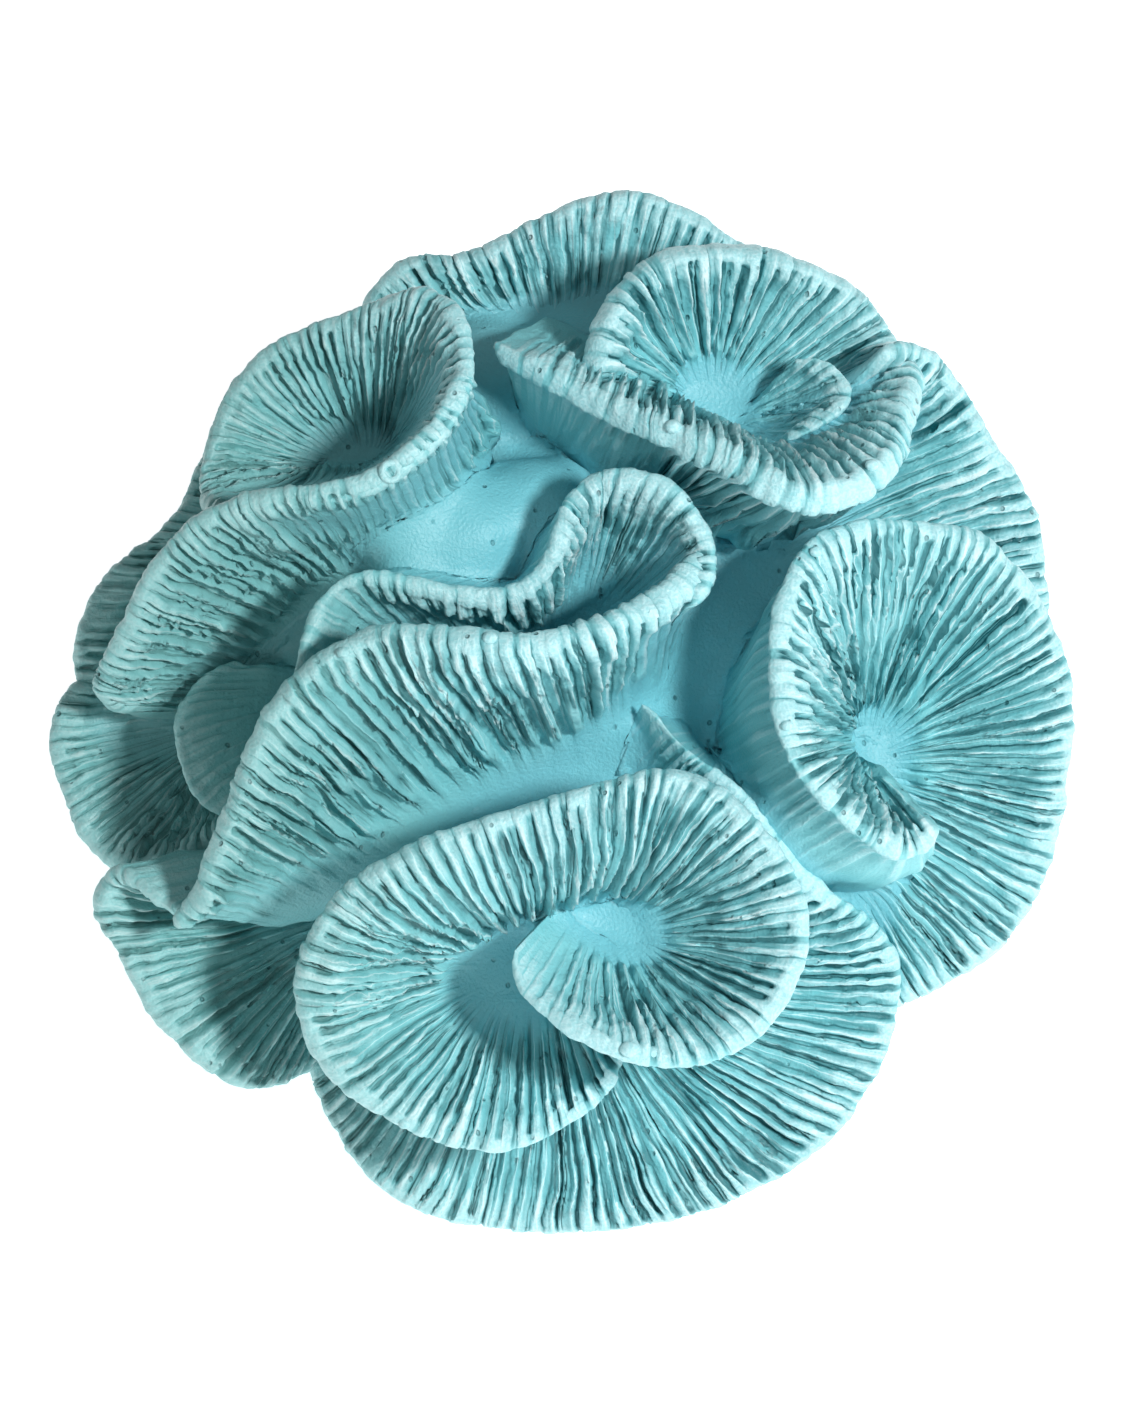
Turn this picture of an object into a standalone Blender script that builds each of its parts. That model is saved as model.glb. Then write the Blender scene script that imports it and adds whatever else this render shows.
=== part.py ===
"""Mushroom coral: a stump with ruffled plates that fork off it, cut flat below.

Each plate is a sheet lofted through stations. A station is one line across the sheet, from its root on
the stump to its rim. Stations are written as the coral is looked at from in front and above, in
millimetres: x to the right, y up the picture, z towards the viewer. stand() turns them to the upright
frame, in which the coral rests on its cut and +Z is up.
"""

import math

import bmesh
import bpy
import numpy as np
from mathutils import Matrix, Vector

# Driving dimensions, in millimetres unless the name says otherwise
MM = 0.001
LOOK_DOWN_DEG = 55.0
CUT_LEVEL = -88.0
CUT_CENTRE_Y = 8.0
RIM_THICK = 5.0
ROOT_THICK = 9.0
RIDGE_PITCH = 13
RIDGE_HEIGHT = 2.0
BACK_RIDGE_HEIGHT = 1.4
RIDGE_STARTS = 0.1
RIDGE_FULL = 0.5
SCALLOP = 1.0
FRONT_ROWS = (0, 0.3, 0.66, 1)
BACK_ROWS = (1, 0.5, 0)
END_ROUND = 6.0
END_LEAST = 0.1
GAP = 0.4
SHARP_DEG = 25.0
AQUA = (0.30, 0.60, 0.66, 1.0)

# A station is rim x, y, z, root x, y, z, then how far the line sinks away from the ridged side
# a third and two thirds of the way up. A rim runs clockwise as seen from the ridged side.
FRONT_CURL = [
    (12.5, -69, 4, 4, -62, 0, 0, 0),
    (8, -77, 4, 1, -60, 0, 1, 1),
    (-2, -85, 5, -4, -60, 0, 2, 1),
    (-14, -88, 7, -9, -60, 0, 3, 0),
    (-29, -84, 9, -13, -59, 0, 4, 0),
    (-41, -77, 12, -16, -58, 0, 4, -1),
    (-49, -67, 16, -18, -56, 0, 4, -3),
    (-51, -54, 22, -18, -53, 0, 3, -5),
    (-45, -41, 27, -17, -50, 0, 0, -8),
    (-33, -32, 30, -14, -47, 0, -5, -11),
    (-16, -25, 30, -9, -43, 0, -9, -13),
    (0, -20, 30, -3, -40, 0, -11, -14),
    (12, -16.5, 30, 4, -39, 2, -10, -13),
    (23, -15, 30, 10, -40, 5, -7, -10),
    (34, -21, 31, 14, -42, 8, -3, -6),
    (42, -30, 31, 16, -44, 10, 0, -4),
    (47, -42, 31, 17, -46, 11, 1, -3),
    (45, -54, 31, 17, -48, 11, 2, -2),
    (37, -65, 32, 16, -49, 11, 2, -2),
    (24, -70, 34, 13, -50, 11, 2, -1),
    (11, -68, 35, 9, -49, 11, 2, 0),
    (0, -62, 32, 5, -47, 11, 2, 0),
    (-7, -56, 28, 1, -44, 11, 1, 0),
    (-9, -49, 24, -1, -41, 11, 0, 0),
]
FRONT_SKIRT = [
    (17, 0, 16, 10, -14, -14, 0, 0),
    (26, -12, 14, 14, -24, -16, 0, 0),
    (36, -20, 10, 20, -34, -16, 0, 0),
    (46, -33, 4, 25, -44, -16, 1, 0),
    (57, -42, -2, 26, -50, -16, 2, 0),
    (65, -50, -7, 25, -54, -16, 2, 0),
    (66.5, -60, -11, 22, -58, -16, 2, 0),
    (63, -73, -14, 18, -61, -16, 2, -1),
    (53, -88, -18, 13, -63, -16, 2, -2),
    (38, -98, -22, 9, -64, -16, 2, -2),
    (20, -104.5, -26, 5, -65, -16, 1, -3),
    (0, -106.5, -28, 0, -65, -16, 0, -3),
    (-18, -105, -28, -6, -64, -17, 0, -3),
    (-33, -99.5, -28, -12, -62, -18, 0, -3),
    (-43, -89, -27, -17, -60, -19, 0, -2),
    (-49, -76, -26, -20, -57, -20, 0, -1),
    (-52, -64, -26, -22, -54, -20, 0, 0),
]
CENTRE_WALL = [
    (-77, -45, 9, -60, -47, -8, 0, 0),
    (-72, -41, 13, -55, -45, -8, 1, 0),
    (-68, -31, 18, -48, -41, -6, 2, -1),
    (-63, -18, 24, -40, -34, -4, 3, -2),
    (-58, -5, 29, -32, -28, -3, 3, -3),
    (-50, 5.5, 32, -24, -23, -2, 3, -4),
    (-38, 12, 34, -16, -19, -2, 3, -4),
    (-22, 12, 36, -8, -15, -2, 3, -4),
    (-8, 10.5, 36, 0, -12, -3, 3, -3),
    (5, 12.5, 34, 8, -8, -4, 3, -2),
    (16, 17, 30, 15, -3, -5, 3, -1),
    (25, 22, 26, 21, 4, -6, 2, 0),
    (29, 30, 22, 24, 14, -6, 1, 0),
]
CENTRE_HOLLOW = [
    (-52, 2, 24, -38, 0, -6, 0, 0),
    (-49, 13, 20, -34, 6, -6, 0, 0),
    (-42, 23, 18, -28, 10, -6, 0, -1),
    (-31, 22.5, 18, -20, 11, -6, 0, -1),
    (-20, 20.5, 18, -12, 11, -6, 0, -1),
    (-9, 21, 18, -6, 12, -6, 0, -1),
    (-2, 27, 18, -2, 14, -6, 0, -1),
    (2, 37, 18, 1, 17, -6, 0, -1),
    (8, 43.5, 18, 4, 19, -6, 0, 0),
    (17, 43, 20, 6, 19, -6, 2, 0),
    (25, 37.5, 22, 8, 18, -6, 3, 0),
    (28.5, 28, 24, 8, 16, -6, 3, 0),
    (26, 19, 27, 6, 13, -6, 2, 0),
]
RIGHT_SHELL = [
    (75, -25, 16, 66, -15, 2, 0, 0),
    (69, -29, 18, 62, -15, -2, 1, 0),
    (60, -25, 22, 59, -13, -6, 1, -1),
    (51, -17, 26, 57, -11, -9, 0, -2),
    (46, -9, 28, 57, -9, -10, 0, -3),
    (43.5, 3, 29, 57, -7, -11, 0, -3),
    (44, 17, 27, 58, -6, -12, 0, -3),
    (49, 28.5, 23, 59, -5, -12, 1, -3),
    (60, 34, 18, 60, -5, -12, 2, -2),
    (72, 34, 12, 62, -5, -12, 3, -1),
    (84, 31, 5, 64, -6, -12, 3, -1),
    (94, 21, -2, 65, -7, -13, 3, -1),
    (100, 8, -7, 66, -9, -13, 3, -1),
    (101.5, -4, -10, 66, -11, -13, 2, -1),
    (99.5, -22, -13, 66, -15, -13, 2, -1),
    (96, -36, -16, 65, -20, -13, 2, -1),
    (87, -50, -19, 63, -28, -14, 2, -1),
    (76, -57, -21, 60, -34, -15, 1, -1),
    (66, -61, -23, 56, -38, -16, 1, -1),
    (58, -62, -25, 52, -40, -18, 0, 0),
]
RIGHT_PLATE = [
    (64, 69, 8, 38, 44, -6, 0, 0),
    (72, 69, 2, 40, 40, -8, 1, 0),
    (79, 62, -4, 42, 36, -10, 2, 0),
    (87, 50, -9, 43, 31, -12, 3, 0),
    (93, 40, -12, 44, 26, -13, 3, 0),
    (96, 28, -15, 45, 21, -14, 3, 0),
    (96, 15, -19, 46, 14, -16, 2, 0),
    (92, 0, -25, 47, 5, -20, 1, 0),
    (86, -14, -32, 46, -5, -25, 0, 0),
]
CROWN_CUP = [
    (13, 56, 8, 20, 60, -8, 0, 0),
    (9, 62, 8, 22, 61, -9, 0, 0),
    (9, 72, 7, 24, 62, -10, 1, 0),
    (14, 82, 5, 26, 63, -10, 2, 0),
    (24, 88, 3, 29, 64, -10, 3, 0),
    (38, 88.5, 0, 32, 64, -10, 3, 0),
    (52, 85, -3, 35, 63, -10, 3, 0),
    (61, 79, -6, 38, 62, -10, 2, 0),
    (66, 71, -6, 41, 60, -10, 1, 0),
    (70, 67, 4, 43, 58, -10, 1, -1),
    (68, 59, 14, 43, 56, -10, 1, -2),
    (65, 50, 24, 41, 55, -10, 1, -4),
    (57, 43, 31, 38, 54, -10, 1, -5),
    (46, 42, 33, 34, 54, -10, 1, -5),
    (36, 48, 30, 29, 56, -10, 1, -4),
    (25, 53, 25, 22, 60, -10, 1, -3),
    (14, 57, 19, 15, 65, -10, 1, -2),
    (4, 62.5, 14, 8, 70, -12, 0, -1),
    (-5, 67.5, 10, 2, 74, -14, 0, -1),
    (-13, 71.5, 5, -4, 77, -18, 0, 0),
]
CROWN_TONGUE = [
    (47, 68, 2, 38, 60, -8, 0, 0),
    (53, 66.5, 5, 38, 58, -8, 1, 0),
    (56.5, 61, 8, 38, 56, -8, 1, 0),
    (52, 56, 10, 37, 54, -8, 0, 0),
    (45, 52, 10, 36, 52, -8, 0, 0),
]
BACK_RUFFLE = [
    (-50, 62, -36, -24, 58, -34, 0, 0),
    (-44, 70, -32, -20, 62, -32, 0, 0),
    (-38, 81, -28, -18, 66, -30, 1, 0),
    (-30, 88.5, -26, -14, 69, -29, 2, 0),
    (-20, 89, -25, -8, 71, -28, 3, 0),
    (-8, 94.5, -24, -2, 72, -28, 3, 0),
    (3, 99.5, -23, 3, 73, -28, 3, -1),
    (13, 101.5, -22, 8, 73, -28, 3, -1),
    (23, 99, -22, 13, 72, -29, 3, -1),
    (33, 93, -24, 18, 71, -30, 3, -1),
    (44, 86.5, -28, 24, 69, -32, 2, 0),
    (56, 80, -32, 30, 66, -34, 2, 0),
    (68, 68, -36, 36, 60, -37, 1, 0),
    (78, 52, -40, 40, 50, -40, 0, 0),
]
UPPER_LEFT_CUP = [
    (-66, 37, 16, -50, 45, -8, 0, 0),
    (-70.5, 42, 4, -48, 46, -9, 0, 0),
    (-69, 53, -2, -46, 47, -10, 1, 0),
    (-63.5, 64, -2, -44, 48, -10, 2, 0),
    (-52, 72.5, 1, -41, 49, -10, 3, 0),
    (-38.5, 77.5, 6, -38, 49, -10, 3, -1),
    (-28, 80.5, 12, -36, 49, -10, 3, -2),
    (-21, 76, 18, -35, 48, -10, 2, -3),
    (-19.5, 66, 23, -35, 47, -10, 1, -3),
    (-22.5, 56, 27, -36, 46, -10, 0, -3),
    (-29, 49, 29, -38, 46, -10, 0, -2),
    (-37, 43.5, 29, -40, 46, -10, 0, -1),
    (-48, 40.5, 26, -44, 47, -10, 0, 0),
    (-58, 39.5, 22, -47, 48, -10, 0, 0),
]
UPPER_LEFT_CREST = [
    (-86, -2, -10, -70, -2, -24, 0, 0),
    (-92, 2, -5, -68, 2, -22, 0, 0),
    (-88, 11, 2, -64, 7, -20, 2, -1),
    (-83, 22, 9, -58, 13, -17, 3, -2),
    (-76, 31, 16, -52, 19, -13, 3, -3),
    (-67, 37, 21, -47, 23, -9, 3, -3),
    (-56, 40, 26, -43, 25, -5, 3, -3),
    (-46, 41, 29, -38, 28, -2, 2, -3),
    (-37, 43.5, 30, -32, 32, 0, 1, -3),
    (-29, 49, 30, -24, 38, 0, 0, -2),
    (-22, 57, 27, -17, 46, -2, 0, -1),
    (-18.5, 67, 22, -13, 56, -8, 0, 0),
]
LEFT_BACK_SKIRT = [
    (-88, -8, -28, -62, -4, -28, 0, 0),
    (-94, -1, -25, -60, 4, -28, 0, 0),
    (-97, 7, -23, -57, 11, -27, 1, 0),
    (-95.5, 17, -22, -54, 18, -26, 2, 0),
    (-89, 27, -22, -50, 24, -26, 2, 0),
    (-79, 35, -23, -46, 30, -26, 2, 0),
    (-73.5, 44, -26, -42, 36, -28, 2, 0),
    (-69, 54, -30, -38, 42, -30, 1, 0),
    (-60, 64, -36, -34, 48, -34, 0, 0),
]
LEFT_SHELL = [
    (-66, -25, -10, -64, -10, -26, 0, 0),
    (-75, -30, -12, -67, -10, -28, 1, 0),
    (-86, -33, -16, -69, -9, -29, 2, 0),
    (-94, -28.5, -20, -70, -7, -29, 2, 0),
    (-99, -18.5, -22, -70, -5, -29, 2, 0),
    (-101.5, -7, -22, -69, -3, -29, 2, 0),
    (-99, 1, -22, -68, -1, -29, 1, 0),
    (-93, 6, -24, -66, 1, -29, 0, 0),
]
LEFT_LOBE = [
    (-65, -24, 1, -54, -14, -10, -1, -3),
    (-72, -18.5, 0, -54, -8, -12, -2, -4),
    (-76, -8, -3, -54, -2, -14, -2, -4),
    (-74.5, 2, -8, -54, 3, -15, -1, -3),
    (-66, 8, -12, -52, 7, -15, 0, -1),
]
LOWER_LEFT_SHELL = [
    (-48, -70, -22, -40, -50, -22, 0, 0),
    (-54, -75, -19, -42, -50, -21, 0, 0),
    (-62, -77, -16, -44, -49, -20, 1, 0),
    (-73, -70.5, -13, -46, -47, -19, 2, -1),
    (-82, -61, -11, -47, -45, -18, 2, -1),
    (-88, -50, -9, -47, -43, -18, 2, -1),
    (-92, -41, -6, -47, -41, -17, 2, -1),
    (-88, -35, -1, -46, -39, -16, 2, -1),
    (-80, -40, 4, -44, -38, -15, 1, -2),
    (-72, -43, 5, -42, -38, -15, 0, -1),
]
# The plate low at the back is written in the upright frame: x, y to the back, z up.
BACK_SKIRT = [
    (-84, 6, -44, -50, 10, -34, -1, -2),
    (-90, 28, -52, -46, 24, -24, -3, -4),
    (-79, 50, -60, -40, 32, -17, -4, -5),
    (-62, 62, -50, -30, 39, -14, -4, -5),
    (-45, 78, -60, -20, 43, -12, -4, -5),
    (-22, 82, -49, -9, 46, -12, -4, -5),
    (2, 90, -60, 2, 47, -12, -4, -5),
    (26, 83, -49, 13, 46, -12, -4, -5),
    (48, 80, -60, 23, 43, -14, -4, -5),
    (65, 62, -50, 33, 37, -16, -4, -5),
    (84, 48, -59, 42, 30, -20, -3, -4),
    (91, 24, -50, 48, 20, -26, -2, -3),
    (86, 2, -42, 50, 8, -34, -1, -2),
]

# Node, then its sheets: stations, written upright or not, and the share of the rim's length from
# which the back face carries ridges too.
NO_BACK = 2.0
WALL_BACK_FROM = 0.75
NODES = [
    ("front_curl", [(FRONT_CURL, False, NO_BACK)]),
    ("right_shell", [(RIGHT_SHELL, False, NO_BACK)]),
    ("centre_ruffle", [(CENTRE_WALL, False, WALL_BACK_FROM), (CENTRE_HOLLOW, False, NO_BACK)]),
    ("crown_cup", [(CROWN_CUP, False, NO_BACK), (CROWN_TONGUE, False, NO_BACK)]),
    ("upper_left_cup", [(UPPER_LEFT_CUP, False, NO_BACK), (UPPER_LEFT_CREST, False, NO_BACK)]),
    ("front_skirt", [(FRONT_SKIRT, False, NO_BACK)]),
    ("lower_left_shell", [(LOWER_LEFT_SHELL, False, NO_BACK)]),
    ("left_lobe", [(LEFT_LOBE, False, NO_BACK)]),
    ("left_shell", [(LEFT_SHELL, False, NO_BACK)]),
    ("right_plate", [(RIGHT_PLATE, False, NO_BACK)]),
    ("left_back_skirt", [(LEFT_BACK_SKIRT, False, NO_BACK)]),
    ("back_ruffle", [(BACK_RUFFLE, False, NO_BACK)]),
    ("back_skirt", [(BACK_SKIRT, True, NO_BACK)]),
]
# Smooth floors of the hollows, where a plate's ridges meet: x, y, z of the top, then radius.
FLOORS = [
    (-12, -55, 1, 13),
    (-16, -46, 0, 12),
    (4, -42, 4, 11),
    (16, -47, 11, 9),
    (60, -8, -11, 12),
    (61, -22, -13, 13),
    (56, -38, -14, 12),
    (28, 61, -9, 15),
    (39, 57, -9, 12),
    (8, 74, -13, 15),
    (-4, 78, -20, 14),
    (-43, 47, -8, 13),
    (-36, 46, -8, 12),
    (-8, 15, -5, 16),
    (-28, 6, -6, 14),
    (6, 20, -5, 13),
    (-15, 64, -12, 14),
    (2, 57, -21, 15),
    (26, 56, -22, 13),
    (-24, 60, -24, 15),
]
STUMP_RADII = (76, 80, 50)
STUMP_CENTRE = (0, 0, -56)
STUMP_DRAW_IN = 0.22
STUMP_WAIST = -35.0
BACK_SHARE = 0.68
BACK_DRAW_IN = 0.2
BASE_TRIANGLES = 800
BASE_VOXEL = 2.0
BASE_SOFTEN = 0.5
BASE_ROUNDS = 6


def clear_scene():
    for obj in list(bpy.data.objects):
        bpy.data.objects.remove(obj, do_unlink=True)


def stand(points):
    """Face-frame points turned to the upright frame."""
    look = math.radians(LOOK_DOWN_DEG)
    x, y, z = np.moveaxis(np.asarray(points, float), -1, 0)
    up = y * math.cos(look) + z * math.sin(look)
    back = y * math.sin(look) - z * math.cos(look)
    return np.stack([x, back, up], axis=-1)


def natural_spline(knots, values, at):
    """A cubic curve through values at knots, read at other places."""
    count = len(knots)
    step = np.diff(knots)
    slope = np.diff(values, axis=0) / step[:, None]
    system = np.eye(count)
    right = np.zeros_like(values)
    for i in range(1, count - 1):
        system[i, i - 1 : i + 2] = step[i - 1], 2 * (step[i - 1] + step[i]), step[i]
        right[i] = 6 * (slope[i] - slope[i - 1])
    bend = np.linalg.solve(system, right)
    i = np.clip(np.searchsorted(knots, at, side="right") - 1, 0, count - 2)
    left = (at - knots[i])[:, None]
    h = step[i][:, None]
    a, b = bend[i], bend[i + 1]
    first = slope[i] - h * (2 * a + b) / 6
    return values[i] + left * first + left**2 * a / 2 + left**3 * (b - a) / (6 * h)


def unit(vectors):
    return vectors / np.maximum(np.linalg.norm(vectors, axis=-1, keepdims=True), 1e-9)


def smooth_step(low, high, value):
    t = np.clip((value - low) / (high - low), 0, 1)
    return t * t * (3 - 2 * t)


def sheet_rings(stations, upright, back_from):
    """Closed section loops, one for each column along the rim, as an array columns x loop x 3."""
    data = np.array(stations, float)
    rim, root, sink = data[:, 0:3], data[:, 3:6], data[:, 6:8]
    if not upright:
        rim, root = stand(rim), stand(root)
    knots = np.concatenate([[0], np.cumsum(np.linalg.norm(np.diff(rim, axis=0), axis=1))])
    ridges = round(knots[-1] / RIDGE_PITCH)
    along = np.linspace(0, knots[-1], 2 * ridges + 1)
    table = natural_spline(knots, np.hstack([rim, root, sink]), along)
    rim, root, sink = table[:, 0:3], table[:, 3:6], table[:, 6:8]
    tangent = unit(np.gradient(rim, axis=0))
    chord = rim - root
    facing = unit(np.cross(tangent, chord))
    low = root + chord / 3 - facing * sink[:, 0:1]
    high = root + chord * 2 / 3 - facing * sink[:, 1:2]

    def surface(shares):
        """Points of the ridged face and its normals, at these shares of the way up."""
        v = np.array(shares, float)[None, :, None]
        p0, p1, p2, p3 = (p[:, None, :] for p in (root, low, high, rim))
        line = (1 - v) ** 3 * p0 + 3 * (1 - v) ** 2 * v * p1 + 3 * (1 - v) * v**2 * p2 + v**3 * p3
        rise = (1 - v) ** 2 * (p1 - p0) + 2 * (1 - v) * v * (p2 - p1) + v**2 * (p3 - p2)
        side = np.broadcast_to(tangent[:, None, :], line.shape)
        return line, unit(np.cross(side, rise)), unit(rise)

    ends = np.minimum(along, knots[-1] - along)
    rounding = np.sqrt(1 - (1 - np.clip(ends / END_ROUND, END_LEAST, 1)) ** 2)[:, None]
    ridge = (np.arange(len(along)) % 2)[:, None] * rounding
    face, normal, rise = surface(FRONT_ROWS)
    lift = RIDGE_HEIGHT * ridge * smooth_step(RIDGE_STARTS, RIDGE_FULL, np.array(FRONT_ROWS))
    inner = face + normal * lift[..., None]
    face, normal, _ = surface(BACK_ROWS)
    thick = (RIM_THICK + (ROOT_THICK - RIM_THICK) * (1 - np.array(BACK_ROWS))) * rounding
    on_back = ridge * (along >= back_from * knots[-1])[:, None]
    outer = face - normal * (thick + BACK_RIDGE_HEIGHT * on_back)[..., None]
    middle = (inner[:, -1] + outer[:, 0]) / 2
    tip = middle + rise[:, -1] * (RIM_THICK / 2 * rounding + SCALLOP * ridge)
    return np.concatenate([inner, tip[:, None, :], outer], axis=1)


def add_sheet(mesh, rings):
    """Lofts the loops into a closed skin: quads between loops and a strip across each end."""
    columns, loop = rings.shape[:2]
    verts = [[mesh.verts.new(Vector(p) * MM) for p in ring] for ring in rings]
    for first, second in zip(verts, verts[1:]):
        for j in range(loop):
            k = (j + 1) % loop
            mesh.faces.new((first[j], first[k], second[k], second[j]))
    mesh.faces.new(verts[0][::-1])
    mesh.faces.new(verts[-1])


def coral_material():
    material = bpy.data.materials.new("aqua_plaster")
    material.use_nodes = True
    shader = material.node_tree.nodes["Principled BSDF"]
    shader.inputs["Base Color"].default_value = AQUA
    shader.inputs["Roughness"].default_value = 0.6
    shader.inputs["Metallic"].default_value = 0.0
    return material


def object_from(name, mesh, collection):
    data = bpy.data.meshes.new(name)
    mesh.to_mesh(data)
    mesh.free()
    obj = bpy.data.objects.new(name, data)
    collection.objects.link(obj)
    return obj


def freeze(obj):
    """The evaluated shape as the object's own mesh, with its modifiers gone."""
    graph = bpy.context.evaluated_depsgraph_get()
    baked = bpy.data.meshes.new_from_object(obj.evaluated_get(graph))
    obj.modifiers.clear()
    old = obj.data
    obj.data = baked
    bpy.data.meshes.remove(old)


def fuse_base(obj):
    """The stump and its floors made one smooth skin with few triangles."""
    remesh = obj.modifiers.new("fuse", "REMESH")
    remesh.mode = "VOXEL"
    remesh.voxel_size = BASE_VOXEL * MM
    soften = obj.modifiers.new("soften", "SMOOTH")
    soften.factor = BASE_SOFTEN
    soften.iterations = BASE_ROUNDS
    freeze(obj)
    thin = obj.modifiers.new("thin", "DECIMATE")
    thin.ratio = BASE_TRIANGLES / (2 * len(obj.data.polygons))
    freeze(obj)


def keep_largest(obj):
    """Drops the chips that a cut leaves beside the main body."""
    mesh = bmesh.new()
    mesh.from_mesh(obj.data)
    waiting, islands = set(mesh.faces), []
    while waiting:
        queue = [waiting.pop()]
        island = []
        while queue:
            face = queue.pop()
            island.append(face)
            for edge in face.edges:
                beside = waiting.intersection(edge.link_faces)
                waiting -= beside
                queue.extend(beside)
        islands.append(island)
    islands.sort(key=lambda island: sum(face.calc_area() for face in island))
    for island in islands[:-1]:
        bmesh.ops.delete(mesh, geom=island, context="FACES")
    mesh.to_mesh(obj.data)
    mesh.free()


def hide_helper(obj):
    obj.hide_render = True
    obj.display_type = "WIRE"


def swollen_copy(obj, cutters):
    """The shape grown by the gap that a neighbour keeps to it."""
    copy = bpy.data.objects.new(obj.name + "_cutter", obj.data.copy())
    cutters.objects.link(copy)
    hide_helper(copy)
    swell = copy.modifiers.new("swell", "DISPLACE")
    swell.strength = GAP * MM
    swell.mid_level = 0.0
    freeze(copy)
    return copy


def cut_flat(obj):
    """Cuts the stump level and closes the cut with one flat face."""
    mesh = bmesh.new()
    mesh.from_mesh(obj.data)
    cut = bmesh.ops.bisect_plane(
        mesh,
        geom=mesh.verts[:] + mesh.edges[:] + mesh.faces[:],
        plane_co=(0, 0, CUT_LEVEL * MM),
        plane_no=(0, 0, 1),
        clear_inner=True,
    )
    edges = [e for e in cut["geom_cut"] if isinstance(e, bmesh.types.BMEdge)]
    bmesh.ops.contextual_create(mesh, geom=edges)
    bmesh.ops.recalc_face_normals(mesh, faces=mesh.faces[:])
    mesh.to_mesh(obj.data)
    mesh.free()


def make_base(collection):
    """An egg-shaped stump drawn in towards its flat cut, with the smooth floors grown on it."""
    mesh = bmesh.new()
    stump = bmesh.ops.create_icosphere(mesh, subdivisions=5, radius=1.0)["verts"]
    for vert in stump:
        x, y, z = stand(np.array(vert.co) * STUMP_RADII + STUMP_CENTRE)
        draw_in = 1 - STUMP_DRAW_IN * smooth_step(STUMP_WAIST, CUT_LEVEL, z)
        depth = (y - CUT_CENTRE_Y) * draw_in
        if depth > 0:
            depth *= BACK_SHARE - BACK_DRAW_IN * smooth_step(0, STUMP_WAIST, z)
        vert.co = Vector((x * draw_in, CUT_CENTRE_Y + depth, z)) * MM
    for x, y, top, radius in FLOORS:
        place = Matrix.Translation(Vector(stand((x, y, top - radius))) * MM)
        bmesh.ops.create_icosphere(mesh, subdivisions=3, radius=radius * MM, matrix=place)
    obj = object_from("base", mesh, collection)
    fuse_base(obj)
    cut_flat(obj)
    return obj


def make_sheet(name, sheet, collection):
    """One plate's sheet as a closed skin, facing out."""
    mesh = bmesh.new()
    add_sheet(mesh, sheet_rings(*sheet))
    bmesh.ops.recalc_face_normals(mesh, faces=mesh.faces[:])
    if mesh.calc_volume(signed=True) < 0:
        bmesh.ops.reverse_faces(mesh, faces=mesh.faces[:])
    return object_from(name, mesh, collection)


def add_boolean(obj, operation, other):
    """MANIFOLD, because EXACT leaves open edges where the thin ridged skins cross."""
    step = obj.modifiers.new(other.name, "BOOLEAN")
    step.operation = operation
    step.solver = "MANIFOLD"
    step.object = other


def make_fold(name, sheets, collection, cutters, clear_of):
    """Joins the node's sheets, cuts them clear of what was made before, and adds their own cutters."""
    obj = make_sheet(name, sheets[0], collection)
    swollen = [swollen_copy(obj, cutters)]
    for sheet in sheets[1:]:
        joined = make_sheet(name + "_joined", sheet, cutters)
        hide_helper(joined)
        swollen.append(swollen_copy(joined, cutters))
        add_boolean(obj, "UNION", joined)
    for cutter in clear_of:
        add_boolean(obj, "DIFFERENCE", cutter)
    freeze(obj)
    keep_largest(obj)
    clear_of.extend(swollen)
    return obj


def main():
    clear_scene()
    coral = bpy.data.collections.new("mushroom_coral")
    cutters = bpy.data.collections.new("cutters")
    for collection in (coral, cutters):
        bpy.context.scene.collection.children.link(collection)
    cutters.hide_render = True
    base = make_base(coral)
    done = [base]
    clear_of = [swollen_copy(base, cutters)]
    for name, sheets in NODES:
        done.append(make_fold(name, sheets, coral, cutters, clear_of))
    for obj in done:
        obj.data.transform(Matrix.Translation((0, -CUT_CENTRE_Y * MM, -CUT_LEVEL * MM)))
        obj.data.materials.clear()
        obj.data.materials.append(coral_material())
        obj.data.shade_smooth()
        obj.data.set_sharp_from_angle(angle=math.radians(SHARP_DEG))
        print(obj.name, len(obj.data.polygons))


main()
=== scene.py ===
# %% [markdown]
# # A mushroom coral in Blender
# This lesson dresses a ruffled coral, cast in aqua plaster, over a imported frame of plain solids. The
# real one is a stump with thin plates that curl into cups and folds, and every plate carries fine
# ridges from its rim down to its root. The frame gives the place and size of each plate. The lesson
# lofts the same plates again from nearly the same stations with a fine mesh, and then grows the
# ridges on them with Geometry Nodes, because a ridge every few millimetres follows a rule.

# %% The frame
import math
from functools import partial
from typing import NamedTuple

import bmesh
import bpy
import numpy as np
from mathutils import Matrix, Vector


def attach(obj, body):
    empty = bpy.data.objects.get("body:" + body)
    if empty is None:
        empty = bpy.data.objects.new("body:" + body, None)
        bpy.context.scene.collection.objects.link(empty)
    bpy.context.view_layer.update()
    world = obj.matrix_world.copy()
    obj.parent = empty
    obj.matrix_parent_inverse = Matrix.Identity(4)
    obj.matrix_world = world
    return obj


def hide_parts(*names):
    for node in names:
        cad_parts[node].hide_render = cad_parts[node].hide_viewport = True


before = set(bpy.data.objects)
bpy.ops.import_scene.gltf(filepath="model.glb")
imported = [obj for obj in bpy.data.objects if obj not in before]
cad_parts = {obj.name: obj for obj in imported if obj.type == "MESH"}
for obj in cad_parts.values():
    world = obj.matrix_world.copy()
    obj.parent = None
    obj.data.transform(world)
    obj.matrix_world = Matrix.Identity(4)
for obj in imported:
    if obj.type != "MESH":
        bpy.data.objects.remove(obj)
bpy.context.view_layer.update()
print("nodes in the frame:", len(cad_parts))

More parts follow.
